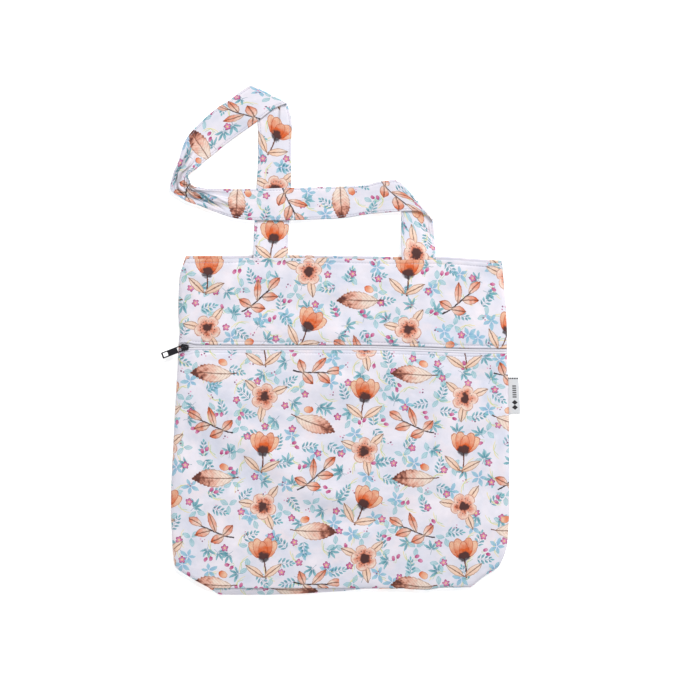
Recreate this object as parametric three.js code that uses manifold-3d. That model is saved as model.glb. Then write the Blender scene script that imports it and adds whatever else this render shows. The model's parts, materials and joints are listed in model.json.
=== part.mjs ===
// A zip-front tote bag of thin printed cloth, lying on its back, its shoulder strap laid out above the mouth.
// Millimetres, +Z up. The origin is under the middle of the bag's back, on the surface that it lies on.
// +Y runs from the base to the mouth and +X to the right of the front.
import * as THREE from "three";
import { mergeVertices } from "three/addons/utils/BufferGeometryUtils.js";
import Module from "manifold-3d";

const wasm = await Module();
wasm.setup();

// Bag body
const bagWidth = 372; // side seam to side seam at its widest
const bagHeight = 360; // base crease to the front's mouth edge
const cloth = 1; // every wall of the bag
const seamGap = 0.4; // between pieces that are sewn together
const edgeRoll = 3.65; // how high the front rises at its side seams
const rollReach = 2.2; // and in what distance
const creaseRise = 1; // the base lifts the front's lower edge as if it were this much further in
const loft = 7; // further rise towards the middle
const loftReach = 70;
const mouthLoft = 0.55; // share of the loft that is left at the mouth
const backReveal = 3.4; // the back stands above the front's mouth edge
const baseDepth = 72; // base piece on the underside
const baseSliver = 7.6; // base piece that shows below the front's crease
const baseLap = 3; // front over the base's upper edge
const baseInset = 4; // that edge ends this far inside the front's corners
const facingHeight = 22; // turned hem inside the back's mouth
const creaseBend = 0.12; // share of the height over which the pattern straightens out above the crease
const mouthBend = 0.26; // and the same from the mouth, and on both sides of the zip
const calmReach = 17.5; // the soft folds fade out this near the seams

// Zip
const zipHeight = 0.732; // share of the bag's height
const zipGap = 5.5; // tape that shows between the two folded edges
const tapeWidth = 13; // each half
const tapeThickness = 1;
const tapeSplit = 0.4; // between the two halves
const coilWidth = 4;
const coilThickness = 1;
const sliderLength = 8.4;
const sliderWidth = 7.6;
const sliderPlate = 0.9;
const sliderRoom = 1.1; // from its sides to the folded edges
const sliderInset = 7; // slider's middle from the left seam
const sliderCorner = 1.6;
const sliderTaper = 0.8; // its right end is narrower
const sliderNeck = 1.5; // width of the post between the plates
const sliderLip = 0.7; // rails along the lower plate
const weld = 0.1; // parts of one casting reach into each other
const bridgeWidth = 1.5;
const bridgeThickness = 0.9;
const bridgeInset = 1.1; // its feet from the slider's ends
const slideClearance = 0.35;

// Pull tab, which swings on the slider's bridge
const pullLength = 27; // hinge bar to outer end
const pullWidth = 7;
const pullThickness = 1.2;
const pullRail = 1;
const pullCorner = 1;
const pullInnerWindow = 8;
const pullOuterWindow = 5.2;
const pullTurn = 21; // degrees that it lies off the zip's line
const pullDroop = 5; // degrees below level
const pullShift = 0.3; // its bar lies off the zip's middle
const hingeClearance = 0.35;

// Side label
const labelReach = 10.5; // out of the side seam
const labelHeight = 40;
const labelThickness = 1;
const labelMiddle = 0.5875; // share of the bag's height
const labelSlant = 1.6; // its lower end stands out this much further

// Strap
const strapWidth = 38.5;
const strapThickness = 2.2; // a turned tube of the bag's cloth
const strapReach = 192; // highest point above the mouth
const strapLayerGap = 0.5; // between crossing layers
const strapSeat = 0.5; // under the front's mouth
const pleatDepth = 1.5; // bunched folds where the strap turns back
const pleatCount = 2;

// Side seams: up is a share of the height, left and right of half the width.
const SIDES = [
  { up: 0, left: 0.776, right: 0.779 },
  { up: 0.031, left: 0.883, right: 0.85 },
  { up: 0.068, left: 0.977, right: 0.945 },
  { up: 0.141, left: 0.992, right: 0.99 },
  { up: 0.263, left: 0.999, right: 1.001 },
  { up: 0.397, left: 0.989, right: 1.001 },
  { up: 0.617, left: 0.966, right: 0.997 },
  { up: 0.7265, left: 0.954, right: 0.987 },
  { up: 0.779, left: 0.948, right: 0.988 },
  { up: 0.837, left: 0.956, right: 0.984 },
  { up: 0.947, left: 0.948, right: 0.968 },
  { up: 1, left: 0.911, right: 0.958 },
];

// Lines across the bag that aren't quite straight: across is a share of half the width.
// crease and sliver are shares of baseSliver, zip and mouth shares of the height.
const LINES = [
  { across: -1, crease: 0, sliver: 0.15, zip: 0.0025, mouth: 0.004 },
  { across: -0.78, crease: 0, sliver: 0.15, zip: 0.0025, mouth: 0.0045 },
  { across: -0.7, crease: 0, sliver: 1, zip: 0.0022, mouth: 0.0045 },
  { across: -0.45, crease: 0, sliver: 1, zip: 0.002, mouth: 0.007 },
  { across: 0, crease: 0, sliver: 0.5, zip: 0.0015, mouth: 0.005 },
  { across: 0.16, crease: 0, sliver: 0.15, zip: 0.001, mouth: 0.0035 },
  { across: 0.36, crease: 0, sliver: 0.12, zip: -0.0015, mouth: 0.0012 },
  { across: 0.5, crease: -0.2, sliver: 0.12, zip: -0.004, mouth: 0.0014 },
  { across: 0.62, crease: 0.12, sliver: 0.12, zip: -0.0065, mouth: 0.001 },
  { across: 0.78, crease: 0.18, sliver: 0.12, zip: -0.009, mouth: -0.004 },
  { across: 1, crease: 0.18, sliver: 0.12, zip: -0.01, mouth: -0.012 },
];

// Soft folds of the front: middle and half-lengths as shares of half the width and of the height,
// turn in degrees, rise as a share of the loft.
const FOLDS = [
  { across: -0.86, up: 0.955, long: 0.2, wide: 0.018, turn: -14, rise: 0.16 },
  { across: -0.8, up: 0.9, long: 0.22, wide: 0.02, turn: -38, rise: -0.14 },
  { across: -0.1, up: 0.775, long: 0.9, wide: 0.02, turn: -1, rise: 0.14 },
  { across: 0.55, up: 0.66, long: 0.5, wide: 0.03, turn: -8, rise: 0.12 },
  { across: -0.62, up: 0.3, long: 0.42, wide: 0.05, turn: 68, rise: 0.16 },
  { across: 0.3, up: 0.24, long: 0.5, wide: 0.05, turn: 12, rise: -0.15 },
  { across: 0.72, up: 0.45, long: 0.4, wide: 0.04, turn: 80, rise: 0.14 },
  { across: -0.15, up: 0.5, long: 0.5, wide: 0.05, turn: 30, rise: -0.13 },
];

// The strap's rulings, from its left end in the mouth to its right end. x is a share of half the bag's width
// and y of strapReach above the mouth, turn is the ruling's direction in degrees, span a share of strapWidth,
// layer counts strap layers off the floor, pleat is a share of pleatDepth and tuck of the mouth's height.
// fold is 1 where the strap turns over onto itself and -1 where it turns under.
const STRAP = [
  { x: -0.408, y: -0.146, turn: 0, span: 1, layer: 0, pleat: 0, tuck: 1 },
  { x: -0.408, y: 0.003, turn: 0, span: 1, layer: 0, pleat: 0, tuck: 1 },
  { x: -0.4066, y: 0.129, turn: 0, span: 0.99, layer: 0, pleat: 0, tuck: 0.3 },
  { x: -0.4, y: 0.27, turn: 0, span: 0.99, layer: 0, pleat: 0, tuck: 0 },
  { x: -0.392, y: 0.415, turn: 0, span: 0.98, layer: 0, pleat: 0, tuck: 0 },
  { x: -0.3865, y: 0.57, turn: -3, span: 0.95, layer: 0, pleat: 0, tuck: 0 },
  { x: -0.385, y: 0.725, turn: -10, span: 0.97, layer: 0, pleat: 0, tuck: 0 },
  { x: -0.396, y: 0.86, turn: -24, span: 1.15, layer: 0, pleat: 0, tuck: 0 },
  { x: -0.421, y: 0.95, turn: -26.4, span: 1.17, layer: 0, pleat: 0, tuck: 0, fold: 1 },
  { x: -0.481, y: 0.921, turn: -26, span: 1.1, layer: 1, pleat: 0, tuck: 0 },
  { x: -0.562, y: 0.861, turn: -33, span: 1.03, layer: 1, pleat: 0, tuck: 0 },
  { x: -0.673, y: 0.788, turn: -52, span: 0.985, layer: 0.3, pleat: 0, tuck: 0 },
  { x: -0.795, y: 0.69, turn: -60, span: 0.95, layer: 0.1, pleat: 0.1, tuck: 0 },
  { x: -0.865, y: 0.619, turn: -55, span: 0.82, layer: 0.4, pleat: 0.6, tuck: 0 },
  { x: -0.9034, y: 0.5444, turn: -26, span: 0.54, layer: 0.7, pleat: 1, tuck: 0 },
  { x: -0.9413, y: 0.487, turn: -6, span: 0.43, layer: 0.75, pleat: 1, tuck: 0 },
  { x: -0.944, y: 0.4327, turn: 16, span: 0.6, layer: 0.75, pleat: 1, tuck: 0 },
  { x: -0.8957, y: 0.388, turn: 42, span: 0.51, layer: 0.75, pleat: 1, tuck: 0 },
  { x: -0.8235, y: 0.3656, turn: 70, span: 0.52, layer: 0.75, pleat: 0.9, tuck: 0 },
  { x: -0.7319, y: 0.345, turn: 83, span: 0.67, layer: 0.7, pleat: 0.6, tuck: 0 },
  { x: -0.5988, y: 0.3232, turn: 86, span: 0.85, layer: 1, pleat: 0.2, tuck: 0 },
  { x: -0.498, y: 0.319, turn: 90, span: 0.9, layer: 1.12, pleat: 0, tuck: 0 },
  { x: -0.303, y: 0.322, turn: 90, span: 0.93, layer: 1.12, pleat: 0, tuck: 0 },
  { x: -0.12, y: 0.328, turn: 90, span: 0.93, layer: 0.4, pleat: 0, tuck: 0 },
  { x: 0.028, y: 0.334, turn: 90, span: 0.9, layer: 0.05, pleat: 0, tuck: 0 },
  { x: 0.152, y: 0.347, turn: 93, span: 0.84, layer: 0.25, pleat: 0, tuck: 0 },
  { x: 0.2765, y: 0.364, turn: 115, span: 0.96, layer: 0.9, pleat: 0, tuck: 0 },
  { x: 0.383, y: 0.37, turn: 131, span: 1.2, layer: 1, pleat: 0, tuck: 0 },
  { x: 0.4527, y: 0.34, turn: 131, span: 1.43, layer: 1, pleat: 0, tuck: 0, fold: -1 },
  { x: 0.459, y: 0.255, turn: 133, span: 1.38, layer: 0, pleat: 0, tuck: 0 },
  { x: 0.462, y: 0.1375, turn: 150, span: 1.12, layer: 0, pleat: 0, tuck: 0.35 },
  { x: 0.464, y: 0.02, turn: 174, span: 0.97, layer: 0, pleat: 0, tuck: 0.98 },
  { x: 0.4645, y: -0.02, turn: 180, span: 0.96, layer: 0, pleat: 0, tuck: 1 },
  { x: 0.4645, y: -0.146, turn: 180, span: 0.96, layer: 0, pleat: 0, tuck: 1 },
];

// Grid of the faceted cloth
const EDGE_SHARES = [0, 0.55, 1.2, 2, 3.6, 6.4, 11.4]; // multiples of rollReach in from an edge
const INNER_SHARES = [0.1, 0.23, 0.37, 0.51, 0.67, 0.83]; // from the last of those to the middle
const LOWER_SHARES = [0.06, 0.16, 0.27, 0.38, 0.5, 0.63, 0.75, 0.87, 1]; // and up to the zip's rows
const UPPER_SHARES = [0.14, 0.3, 0.48, 0.66, 0.82, 0.92, 1];
const ZIP_SHARES = [0.5, 1, 1.5]; // shares of tapeWidth from the zip's middle
const SLAB_COLUMNS = 12;
const BASE_COLUMNS = 24;
const STRAP_ACROSS = 10;
const STRAP_BETWEEN = 2; // stations from one ruling to the next
const FOLD_STEPS = 6;
const CURVE_STEPS = 3;

const halfWidth = bagWidth / 2;
const baseY = -bagHeight / 2;
const mouthY = bagHeight / 2;
const zipY = baseY + zipHeight * bagHeight;
const edgeSteps = EDGE_SHARES.map((share) => share * rollReach);
const seamLast = edgeSteps[edgeSteps.length - 1];
const tapeInset = edgeSteps[2]; // the tapes end this far in from the side seams
const coilInset = edgeSteps[4];
const radians = THREE.MathUtils.degToRad;

// Monotone cubic through the rows of a table, from column key to column value.
function follow(table, key, value, at) {
  const last = table.length - 1;
  const x = THREE.MathUtils.clamp(at, table[0][key], table[last][key]);
  const i = table.findLastIndex((row, k) => k < last && row[key] <= x);
  const slope = (j) =>
    (table[j + 1][value] - table[j][value]) / (table[j + 1][key] - table[j][key]);
  const tangent = (j) => {
    if (j === 0) return slope(0);
    if (j === last) return slope(last - 1);
    const [a, b] = [slope(j - 1), slope(j)];
    return a * b <= 0 ? 0 : (2 * a * b) / (a + b);
  };
  const span = table[i + 1][key] - table[i][key];
  const t = (x - table[i][key]) / span;
  return (
    (2 * t ** 3 - 3 * t ** 2 + 1) * table[i][value] +
    (t ** 3 - 2 * t ** 2 + t) * span * tangent(i) +
    (3 * t ** 2 - 2 * t ** 3) * table[i + 1][value] +
    (t ** 3 - t ** 2) * span * tangent(i + 1)
  );
}

const rise = (distance, reach) => 1 - Math.exp(-Math.max(distance, 0) / reach);
const hat = (distance, reach) => Math.max(0, 1 - Math.abs(distance) / reach);
const shareUp = (y) => (y - baseY) / bagHeight;
const leftEdge = (y) => -halfWidth * follow(SIDES, "up", "left", shareUp(y));
const rightEdge = (y) => halfWidth * follow(SIDES, "up", "right", shareUp(y));
const line = (x, column) => follow(LINES, "across", column, x / halfWidth);
const sliver = (x) => baseSliver * line(x, "sliver");

// Where a point of the straight pattern lies on the bag, whose base, zip and mouth bend a little.
function bentY(x, y) {
  return (
    y +
    baseSliver * line(x, "crease") * hat(y - baseY, creaseBend * bagHeight) +
    bagHeight * line(x, "zip") * hat(y - zipY, mouthBend * bagHeight) +
    bagHeight * line(x, "mouth") * hat(y - mouthY, mouthBend * bagHeight)
  );
}

function foldRise(x, y) {
  let sum = 0;
  for (const fold of FOLDS) {
    const dx = x - fold.across * halfWidth;
    const dy = y - (baseY + fold.up * bagHeight);
    const [c, s] = [Math.cos(radians(fold.turn)), Math.sin(radians(fold.turn))];
    const along = (dx * c + dy * s) / (fold.long * halfWidth);
    const off = (dy * c - dx * s) / (fold.wide * bagHeight);
    sum += fold.rise * loft * Math.exp(-along * along - off * off);
  }
  return sum;
}

// Height of the front's outer face over a point of the straight pattern.
function frontTop(x, y) {
  const left = x - leftEdge(y);
  const right = rightEdge(y) - x;
  const up = y - baseY;
  const sides = (reach) => rise(left, reach) * rise(right, reach);
  const closed = sides(rollReach) * rise(up + sliver(x) + creaseRise, rollReach);
  const open = mouthLoft + (1 - mouthLoft) * rise(mouthY - y, loftReach);
  const calm = sides(calmReach) * rise(up, calmReach);
  return (
    2 * cloth + seamGap + edgeRoll * closed +
    loft * sides(loftReach) * rise(up, loftReach) * open + foldRise(x, y) * calm
  );
}

// Grid columns from the left seam to the right seam, as functions of y, none nearer a seam than inset.
function columns(inset = 0) {
  const half = (side) => {
    const edge = (y) => (side < 0 ? leftEdge(y) : rightEdge(y));
    return [
      ...edgeSteps.filter((step) => step >= inset).map((step) => (y) => edge(y) - side * step),
      ...INNER_SHARES.map((share) => (y) => (edge(y) - side * seamLast) * (1 - share)),
    ];
  };
  return [...half(-1), () => 0, ...half(1).reverse()];
}

// A closed solid between two grids of points, each an array of rows from left to right, top above bottom.
function solidBetween(top, bottom) {
  const rows = top.length;
  const across = top[0].length;
  const corner = [];
  const quad = (a, b, c, d) => corner.push(a, b, c, a, c, d);
  for (let r = 0; r < rows - 1; r++)
    for (let c = 0; c < across - 1; c++) {
      quad(top[r][c], top[r][c + 1], top[r + 1][c + 1], top[r + 1][c]);
      quad(bottom[r][c], bottom[r + 1][c], bottom[r + 1][c + 1], bottom[r][c + 1]);
    }
  for (let c = 0; c < across - 1; c++) {
    quad(bottom[0][c], bottom[0][c + 1], top[0][c + 1], top[0][c]);
    quad(top[rows - 1][c], top[rows - 1][c + 1], bottom[rows - 1][c + 1], bottom[rows - 1][c]);
  }
  for (let r = 0; r < rows - 1; r++) {
    quad(top[r][0], top[r + 1][0], bottom[r + 1][0], bottom[r][0]);
    quad(bottom[r][across - 1], bottom[r + 1][across - 1], top[r + 1][across - 1], top[r][across - 1]);
  }
  return new THREE.BufferGeometry().setFromPoints(corner);
}

function manifold(geometry) {
  const bare = geometry.clone();
  bare.deleteAttribute("normal");
  bare.deleteAttribute("uv");
  const merged = mergeVertices(bare, 1e-3);
  return new wasm.Manifold(
    new wasm.Mesh({
      numProp: 3,
      vertProperties: new Float32Array(merged.attributes.position.array),
      triVerts: new Uint32Array(merged.index.array),
    }),
  );
}

function geometryOf(solid) {
  const made = solid.getMesh();
  const geometry = new THREE.BufferGeometry();
  geometry.setAttribute("position", new THREE.BufferAttribute(made.vertProperties, 3));
  geometry.setIndex(new THREE.BufferAttribute(made.triVerts, 1));
  return geometry;
}

const extruded = (shape, depth) =>
  new THREE.ExtrudeGeometry(shape, { depth, bevelEnabled: false, curveSegments: CURVE_STEPS });
const fused = (...geometries) =>
  geometryOf(geometries.map(manifold).reduce((sum, next) => sum.add(next)));
const box = (x0, x1, y0, y1, z0, z1) =>
  new THREE.BoxGeometry(x1 - x0, y1 - y0, z1 - z0).translate(
    (x0 + x1) / 2, (y0 + y1) / 2, (z0 + z1) / 2,
  );

// A sheet that lies drop under the front's outer face, over a grid of the straight pattern.
function underFront(rowsOfX, yOf, drop, thickness) {
  const grid = (depth) =>
    rowsOfX.map((xs, r) =>
      xs.map((x) => {
        const y = yOf(r, x);
        return new THREE.Vector3(x, bentY(x, y), frontTop(x, y) - depth);
      }),
    );
  return solidBetween(grid(drop), grid(drop + thickness));
}

// Half of the opening over the zip's tape, wider round the slider.
const sliderX = leftEdge(zipY) + sliderInset;
const flare = sliderWidth / 2 + sliderRoom - zipGap / 2;
const halfOpening = (x) => zipGap / 2 + flare * Math.exp(-(((x - sliderX) / sliderLength) ** 2));

function frontLowerPanel() {
  const start = baseY + seamLast;
  const end = zipY - ZIP_SHARES[ZIP_SHARES.length - 1] * tapeWidth;
  const rows = [
    ...edgeSteps.map((step) => baseY + step),
    ...LOWER_SHARES.map((share) => THREE.MathUtils.lerp(start, end, share)),
    ...ZIP_SHARES.slice(0, -1).reverse().map((share) => zipY - share * tapeWidth),
    zipY,
  ];
  const xs = rows.map((y) => columns().map((column) => column(y)));
  const yOf = (r, x) => Math.min(rows[r], zipY - halfOpening(x));
  return underFront(xs, yOf, 0, cloth);
}

function frontUpperPanel() {
  const start = zipY + ZIP_SHARES[ZIP_SHARES.length - 1] * tapeWidth;
  const rows = [
    zipY,
    ...ZIP_SHARES.map((share) => zipY + share * tapeWidth),
    ...UPPER_SHARES.map((share) => THREE.MathUtils.lerp(start, mouthY, share)),
  ];
  const xs = rows.map((y) => columns().map((column) => column(y)));
  const yOf = (r, x) => (r ? rows[r] : zipY + halfOpening(x));
  return underFront(xs, yOf, 0, cloth);
}

// A flat slab on the floor between two heights of the pattern, its outline following the seams.
function slab(low, high, bottom, top, inset = 0) {
  const outline = [];
  const heights = SIDES.map((row) => baseY + row.up * bagHeight)
    .filter((y) => y > Math.min(...low.ends) && y < Math.min(...high.ends));
  const side = (edge, sign) => (y) => [edge(y) + sign * inset, bentY(edge(y), y)];
  const left = side(leftEdge, 1);
  const right = side(rightEdge, -1);
  for (let k = 0; k <= SLAB_COLUMNS; k++) {
    const x = THREE.MathUtils.lerp(left(low.ends[0])[0], right(low.ends[1])[0], k / SLAB_COLUMNS);
    outline.push([x, low.at(x)]);
  }
  heights.forEach((y) => outline.push(right(y)));
  for (let k = SLAB_COLUMNS; k >= 0; k--) {
    const x = THREE.MathUtils.lerp(left(high.ends[0])[0], right(high.ends[1])[0], k / SLAB_COLUMNS);
    outline.push([x, high.at(x)]);
  }
  heights.reverse().forEach((y) => outline.push(left(y)));
  const shape = new THREE.Shape(outline.map(([x, y]) => new THREE.Vector2(x, y)));
  return extruded(shape, top - bottom).translate(0, 0, bottom);
}

const levelAt = (y) => ({ ends: [y, y], at: (x) => bentY(x, y) });
const seamY = baseY + baseDepth;
const backMouth = { ends: [mouthY, mouthY], at: (x) => bentY(x, mouthY) + backReveal };

function backPanel() {
  return slab(levelAt(seamY + seamGap), backMouth, 0, cloth);
}

function backFacing() {
  const low = { ends: [mouthY - facingHeight, mouthY - facingHeight],
    at: (x) => bentY(x, mouthY) - facingHeight };
  const inset = edgeRoll + cloth;
  return slab(low, backMouth, cloth + seamGap, 2 * cloth + seamGap, inset);
}

// The base laps behind the front's crease and runs down to the floor and under the bag to the back's seam.
function basePanel() {
  const crease = (x) => bentY(x, baseY);
  const low = (x) => crease(x) - sliver(x);
  const under = (x) => frontTop(x, baseY) - cloth - 2 * seamGap;
  const bend = (x) => Math.min(1.6 * cloth, under(x) - cloth);
  const upright = [
    {
      outer: (x) => [crease(x) + baseLap, under(x)],
      inner: (x) => [crease(x) + baseLap, under(x) - cloth],
    },
    {
      outer: (x) => [crease(x) - sliver(x) / 4, under(x)],
      inner: (x) => [crease(x) + cloth, under(x) - cloth],
    },
    { outer: (x) => [low(x), bend(x)], inner: (x) => [low(x) + 1.2 * cloth, bend(x)] },
    { outer: (x) => [low(x), 0.4 * cloth], inner: (x) => [low(x) + 1.4 * cloth, cloth] },
  ].map((row) => ({ ...row, at: baseY, inset: baseInset }));
  const heights = SIDES.map((row) => row.up * bagHeight).filter((up) => up && up < baseDepth);
  const lying = [edgeSteps[2], ...heights, baseDepth]
    .map((up) => ({
      at: baseY + up,
      inset: seamGap,
      outer: (x) => [bentY(x, baseY + up), 0],
      inner: (x) => [bentY(x, baseY + up), cloth],
    }));
  const heel = {
    at: baseY,
    inset: baseInset,
    outer: (x) => [low(x) + 0.4 * cloth, 0],
    inner: (x) => [low(x) + 2.4 * cloth, cloth],
  };
  const grid = (face) =>
    [...upright, heel, ...lying].map((row) =>
      Array.from({ length: BASE_COLUMNS + 1 }, (_, k) => {
        const [left, right] = [leftEdge(row.at) + row.inset, rightEdge(row.at) - row.inset];
        const x = THREE.MathUtils.lerp(left, right, k / BASE_COLUMNS);
        return new THREE.Vector3(x, ...row[face](x));
      }),
    );
  return solidBetween(grid("inner"), grid("outer"));
}

// Half of the zip's tape; side is 1 above the teeth and -1 below. The halves part round the slider's neck.
function zipTape(side) {
  const notch = sliderNeck / 2 + slideClearance;
  const parted = (x) => tapeSplit / 2 + notch * (1 - rise(x - sliderX - sliderNeck, sliderLength / 4));
  const shares = [0, ...ZIP_SHARES.slice(0, -1)];
  const ordered = side > 0 ? shares : shares.reverse();
  const xs = ordered.map((share) =>
    columns(tapeInset).map((column) => column(zipY + side * share * tapeWidth)));
  const yOf = (r, x) => zipY + side * Math.max(parted(x), ordered[r] * tapeWidth);
  return underFront(xs, yOf, cloth + seamGap, tapeThickness);
}

// The closed coil, a bar under the tapes that starts behind the slider's neck.
function zipCoil() {
  const start = sliderX + sliderNeck / 2 + slideClearance;
  const end = rightEdge(zipY) - coilInset;
  const inner = columns(coilInset).map((column) => column(zipY)).filter((x) => x > start && x < end);
  const xs = [start, ...inner, end];
  const yOf = (r) => zipY + (r - 0.5) * coilWidth;
  return underFront([xs, xs], yOf, cloth + tapeThickness + 2 * seamGap, coilThickness);
}

// Heights at the slider, from the tape that runs through it.
const sliderTail = sliderX + sliderLength / 2;
const tapeTop =
  Math.max(...[-1, 0, 1].map((side) => frontTop(sliderTail, zipY + (side * sliderWidth) / 2))) -
  cloth - seamGap;
const coilBottom = frontTop(sliderX, zipY) - cloth - tapeThickness - 2 * seamGap - coilThickness;
const plateTop = tapeTop + slideClearance + sliderPlate;
const noseDrop = (sliderLength / 2) * Math.sin(radians(pullDroop));
const barHeight = plateTop + pullThickness / 2 + noseDrop + hingeClearance;
const sliderY = bentY(sliderX, zipY);

// Plate outline: wide at the mouth end, which faces the open side, and narrower behind.
function sliderPlateAt(bottom) {
  const [l, w] = [sliderLength / 2, sliderWidth / 2];
  const shape = new THREE.Shape();
  shape.moveTo(-l + sliderCorner, -w);
  shape.quadraticCurveTo(-l, -w, -l, -w + sliderCorner);
  shape.lineTo(-l, w - sliderCorner);
  shape.quadraticCurveTo(-l, w, -l + sliderCorner, w);
  shape.lineTo(l, w * sliderTaper);
  shape.lineTo(l, -w * sliderTaper);
  return extruded(shape, sliderPlate).translate(0, 0, bottom);
}

function sliderBridge() {
  const ceiling = barHeight + pullThickness / 2 + hingeClearance;
  const [l, low, sink] = [sliderLength / 2 - bridgeInset, plateTop, sliderPlate / 2];
  const t = bridgeThickness;
  const shape = new THREE.Shape();
  shape.moveTo(-l, low - sink);
  shape.lineTo(-l, ceiling - t / 2);
  shape.quadraticCurveTo(-l, ceiling + t, -l + 2 * t, ceiling + t);
  shape.lineTo(l - 2 * t, ceiling + t);
  shape.quadraticCurveTo(l, ceiling + t, l, ceiling - t / 2);
  shape.lineTo(l, low - sink);
  shape.lineTo(l - t, low - sink);
  shape.lineTo(l - t, ceiling);
  shape.lineTo(-l + t, ceiling);
  shape.lineTo(-l + t, low - sink);
  return extruded(shape, bridgeWidth).translate(0, 0, -bridgeWidth / 2).rotateX(Math.PI / 2);
}

function zipSlider() {
  const lower = coilBottom - slideClearance - sliderPlate;
  const neckEnd = sliderNeck / 2;
  const flangeTop = coilBottom + coilThickness / 2;
  const [l, w] = [sliderLength / 2, sliderWidth / 2];
  const lip = w * sliderTaper;
  const flange = (y) => box(0, l, y, y + sliderLip, lower + weld, flangeTop);
  return fused(
    sliderPlateAt(tapeTop + slideClearance),
    sliderPlateAt(lower),
    box(sliderCorner - l, neckEnd, -sliderNeck / 2, sliderNeck / 2, lower + weld, plateTop - weld),
    flange(-lip),
    flange(lip - sliderLip),
    sliderBridge(),
  );
}

// A flat tab with a window round the bridge and another at its outer end, on a bar through the bridge.
// The bar's middle is at the tab's own origin.
function zipPull() {
  const [w, bar] = [pullWidth / 2, pullThickness / 2];
  const outline = new THREE.Shape();
  outline.moveTo(bar, -w);
  outline.lineTo(bar, w);
  outline.lineTo(-pullLength + pullCorner, w);
  outline.quadraticCurveTo(-pullLength, w, -pullLength, w - pullCorner);
  outline.lineTo(-pullLength, -w + pullCorner);
  outline.quadraticCurveTo(-pullLength, -w, -pullLength + pullCorner, -w);
  const plate = manifold(extruded(outline, pullThickness).translate(0, 0, -pullThickness / 2));
  const rail = w - pullRail;
  const window = (from, to) => manifold(box(-to, -from, -rail, rail, -pullThickness, pullThickness));
  const outer = pullLength - pullRail;
  return geometryOf(
    plate.subtract(window(bar, bar + pullInnerWindow)).subtract(window(outer - pullOuterWindow, outer)),
  );
}

// A folded tape in the right seam, standing out further at its lower end.
function sideLabel() {
  const middle = baseY + labelMiddle * bagHeight;
  const heights = [-0.5, 0, 0.5].map((share) => middle + share * labelHeight);
  const grid = (z) =>
    heights.map((y, k) => {
      const edge = rightEdge(y) + seamGap;
      const out = edge + labelReach + labelSlant * (0.5 - k / 2);
      return [edge, (edge + out) / 2, out].map((x) => new THREE.Vector3(x, y, z));
    });
  return solidBetween(grid(0.3 + labelThickness), grid(0.3));
}

// One ruling of the strap as points from its first edge to its second.
function strapRuling(row) {
  const pitch = strapThickness + strapLayerGap;
  return Array.from({ length: STRAP_ACROSS + 1 }, (_, k) => {
    const t = k / STRAP_ACROSS;
    const off = (t - 0.5) * row.span * strapWidth;
    const x = row.x * halfWidth + off * Math.cos(radians(row.turn));
    const y = mouthY + row.y * strapReach + off * Math.sin(radians(row.turn));
    const laid = strapThickness / 2 + row.layer * pitch;
    const under = frontTop(x, Math.min(y, mouthY)) - cloth - strapSeat - strapThickness / 2;
    const pleat = row.pleat * pleatDepth * Math.cos(2 * Math.PI * pleatCount * t) * Math.sin(Math.PI * t);
    const z = THREE.MathUtils.lerp(laid, under, row.tuck) + pleat;
    return new THREE.Vector3(x, y, Math.max(z, strapThickness / 2));
  });
}

// Rulings through a fold: half a turn of small radius about the crease.
function strapFold(before, row, after) {
  const pitch = strapThickness + strapLayerGap;
  const crease = new THREE.Vector2(Math.cos(radians(row.turn)), Math.sin(radians(row.turn)));
  const inward = new THREE.Vector2(
    ((before.x + after.x) / 2 - row.x) * halfWidth, ((before.y + after.y) / 2 - row.y) * strapReach);
  inward.addScaledVector(crease, -inward.dot(crease)).normalize();
  return Array.from({ length: FOLD_STEPS + 1 }, (_, k) => {
    const a = Math.PI * (k / FOLD_STEPS - 0.5);
    const back = (pitch / 2) * (1 - Math.cos(a));
    return strapRuling({ ...row,
      x: row.x + (inward.x * back) / halfWidth,
      y: row.y + (inward.y * back) / strapReach,
      layer: 0.5 + 0.5 * row.fold * Math.sin(a) });
  });
}

// The strap's middle surface, ruling by ruling.
function strapGrid() {
  const stretches = [[]];
  for (const row of STRAP) {
    stretches[stretches.length - 1].push(row);
    if (row.fold) stretches.push([{ ...row, layer: row.fold > 0 ? 1 : 0 }]);
  }
  const grid = [];
  stretches.forEach((rows, n) => {
    let run = 0;
    const keyed = rows.map((row, k) => {
      if (k) run += Math.hypot((row.x - rows[k - 1].x) * halfWidth, (row.y - rows[k - 1].y) * strapReach);
      return { ...row, run };
    });
    keyed.slice(0, -1).forEach((row, k) => {
      for (let j = 0; j < STRAP_BETWEEN; j++) {
        if (n && !k && !j) continue;
        const at = THREE.MathUtils.lerp(row.run, keyed[k + 1].run, j / STRAP_BETWEEN);
        const mixed = {};
        for (const column of ["x", "y", "turn", "span", "layer", "pleat", "tuck"])
          mixed[column] = follow(keyed, "run", column, at);
        grid.push(strapRuling(mixed));
      }
    });
    const last = rows[rows.length - 1];
    if (last.fold) grid.push(...strapFold(rows[rows.length - 2], last, stretches[n + 1][1]));
    else grid.push(strapRuling(last));
  });
  return grid;
}

function strap() {
  const middle = strapGrid();
  const normal = (r, c) => {
    const at = (i, j) =>
      middle[THREE.MathUtils.clamp(i, 0, middle.length - 1)][THREE.MathUtils.clamp(j, 0, STRAP_ACROSS)];
    const along = at(r + 1, c).clone().sub(at(r - 1, c));
    const across = at(r, c + 1).clone().sub(at(r, c - 1));
    return across.cross(along).normalize();
  };
  const offset = (side) =>
    middle.map((row, r) =>
      row.map((point, c) => point.clone().addScaledVector(normal(r, c), (side * strapThickness) / 2)));
  return solidBetween(offset(1), offset(-1));
}

const finish = (color, roughness, metalness = 0) =>
  new THREE.MeshStandardMaterial({ color, roughness, metalness });
const print = finish(0xe0dce8, 0.75);
const tapeCloth = finish(0xdcdce6, 0.6);
const coilPlastic = finish(0xd4d4de, 0.4);
const blackMetal = finish(0x16141a, 0.3, 0.9);
const labelCloth = finish(0xdfe1e4, 0.8);

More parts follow.
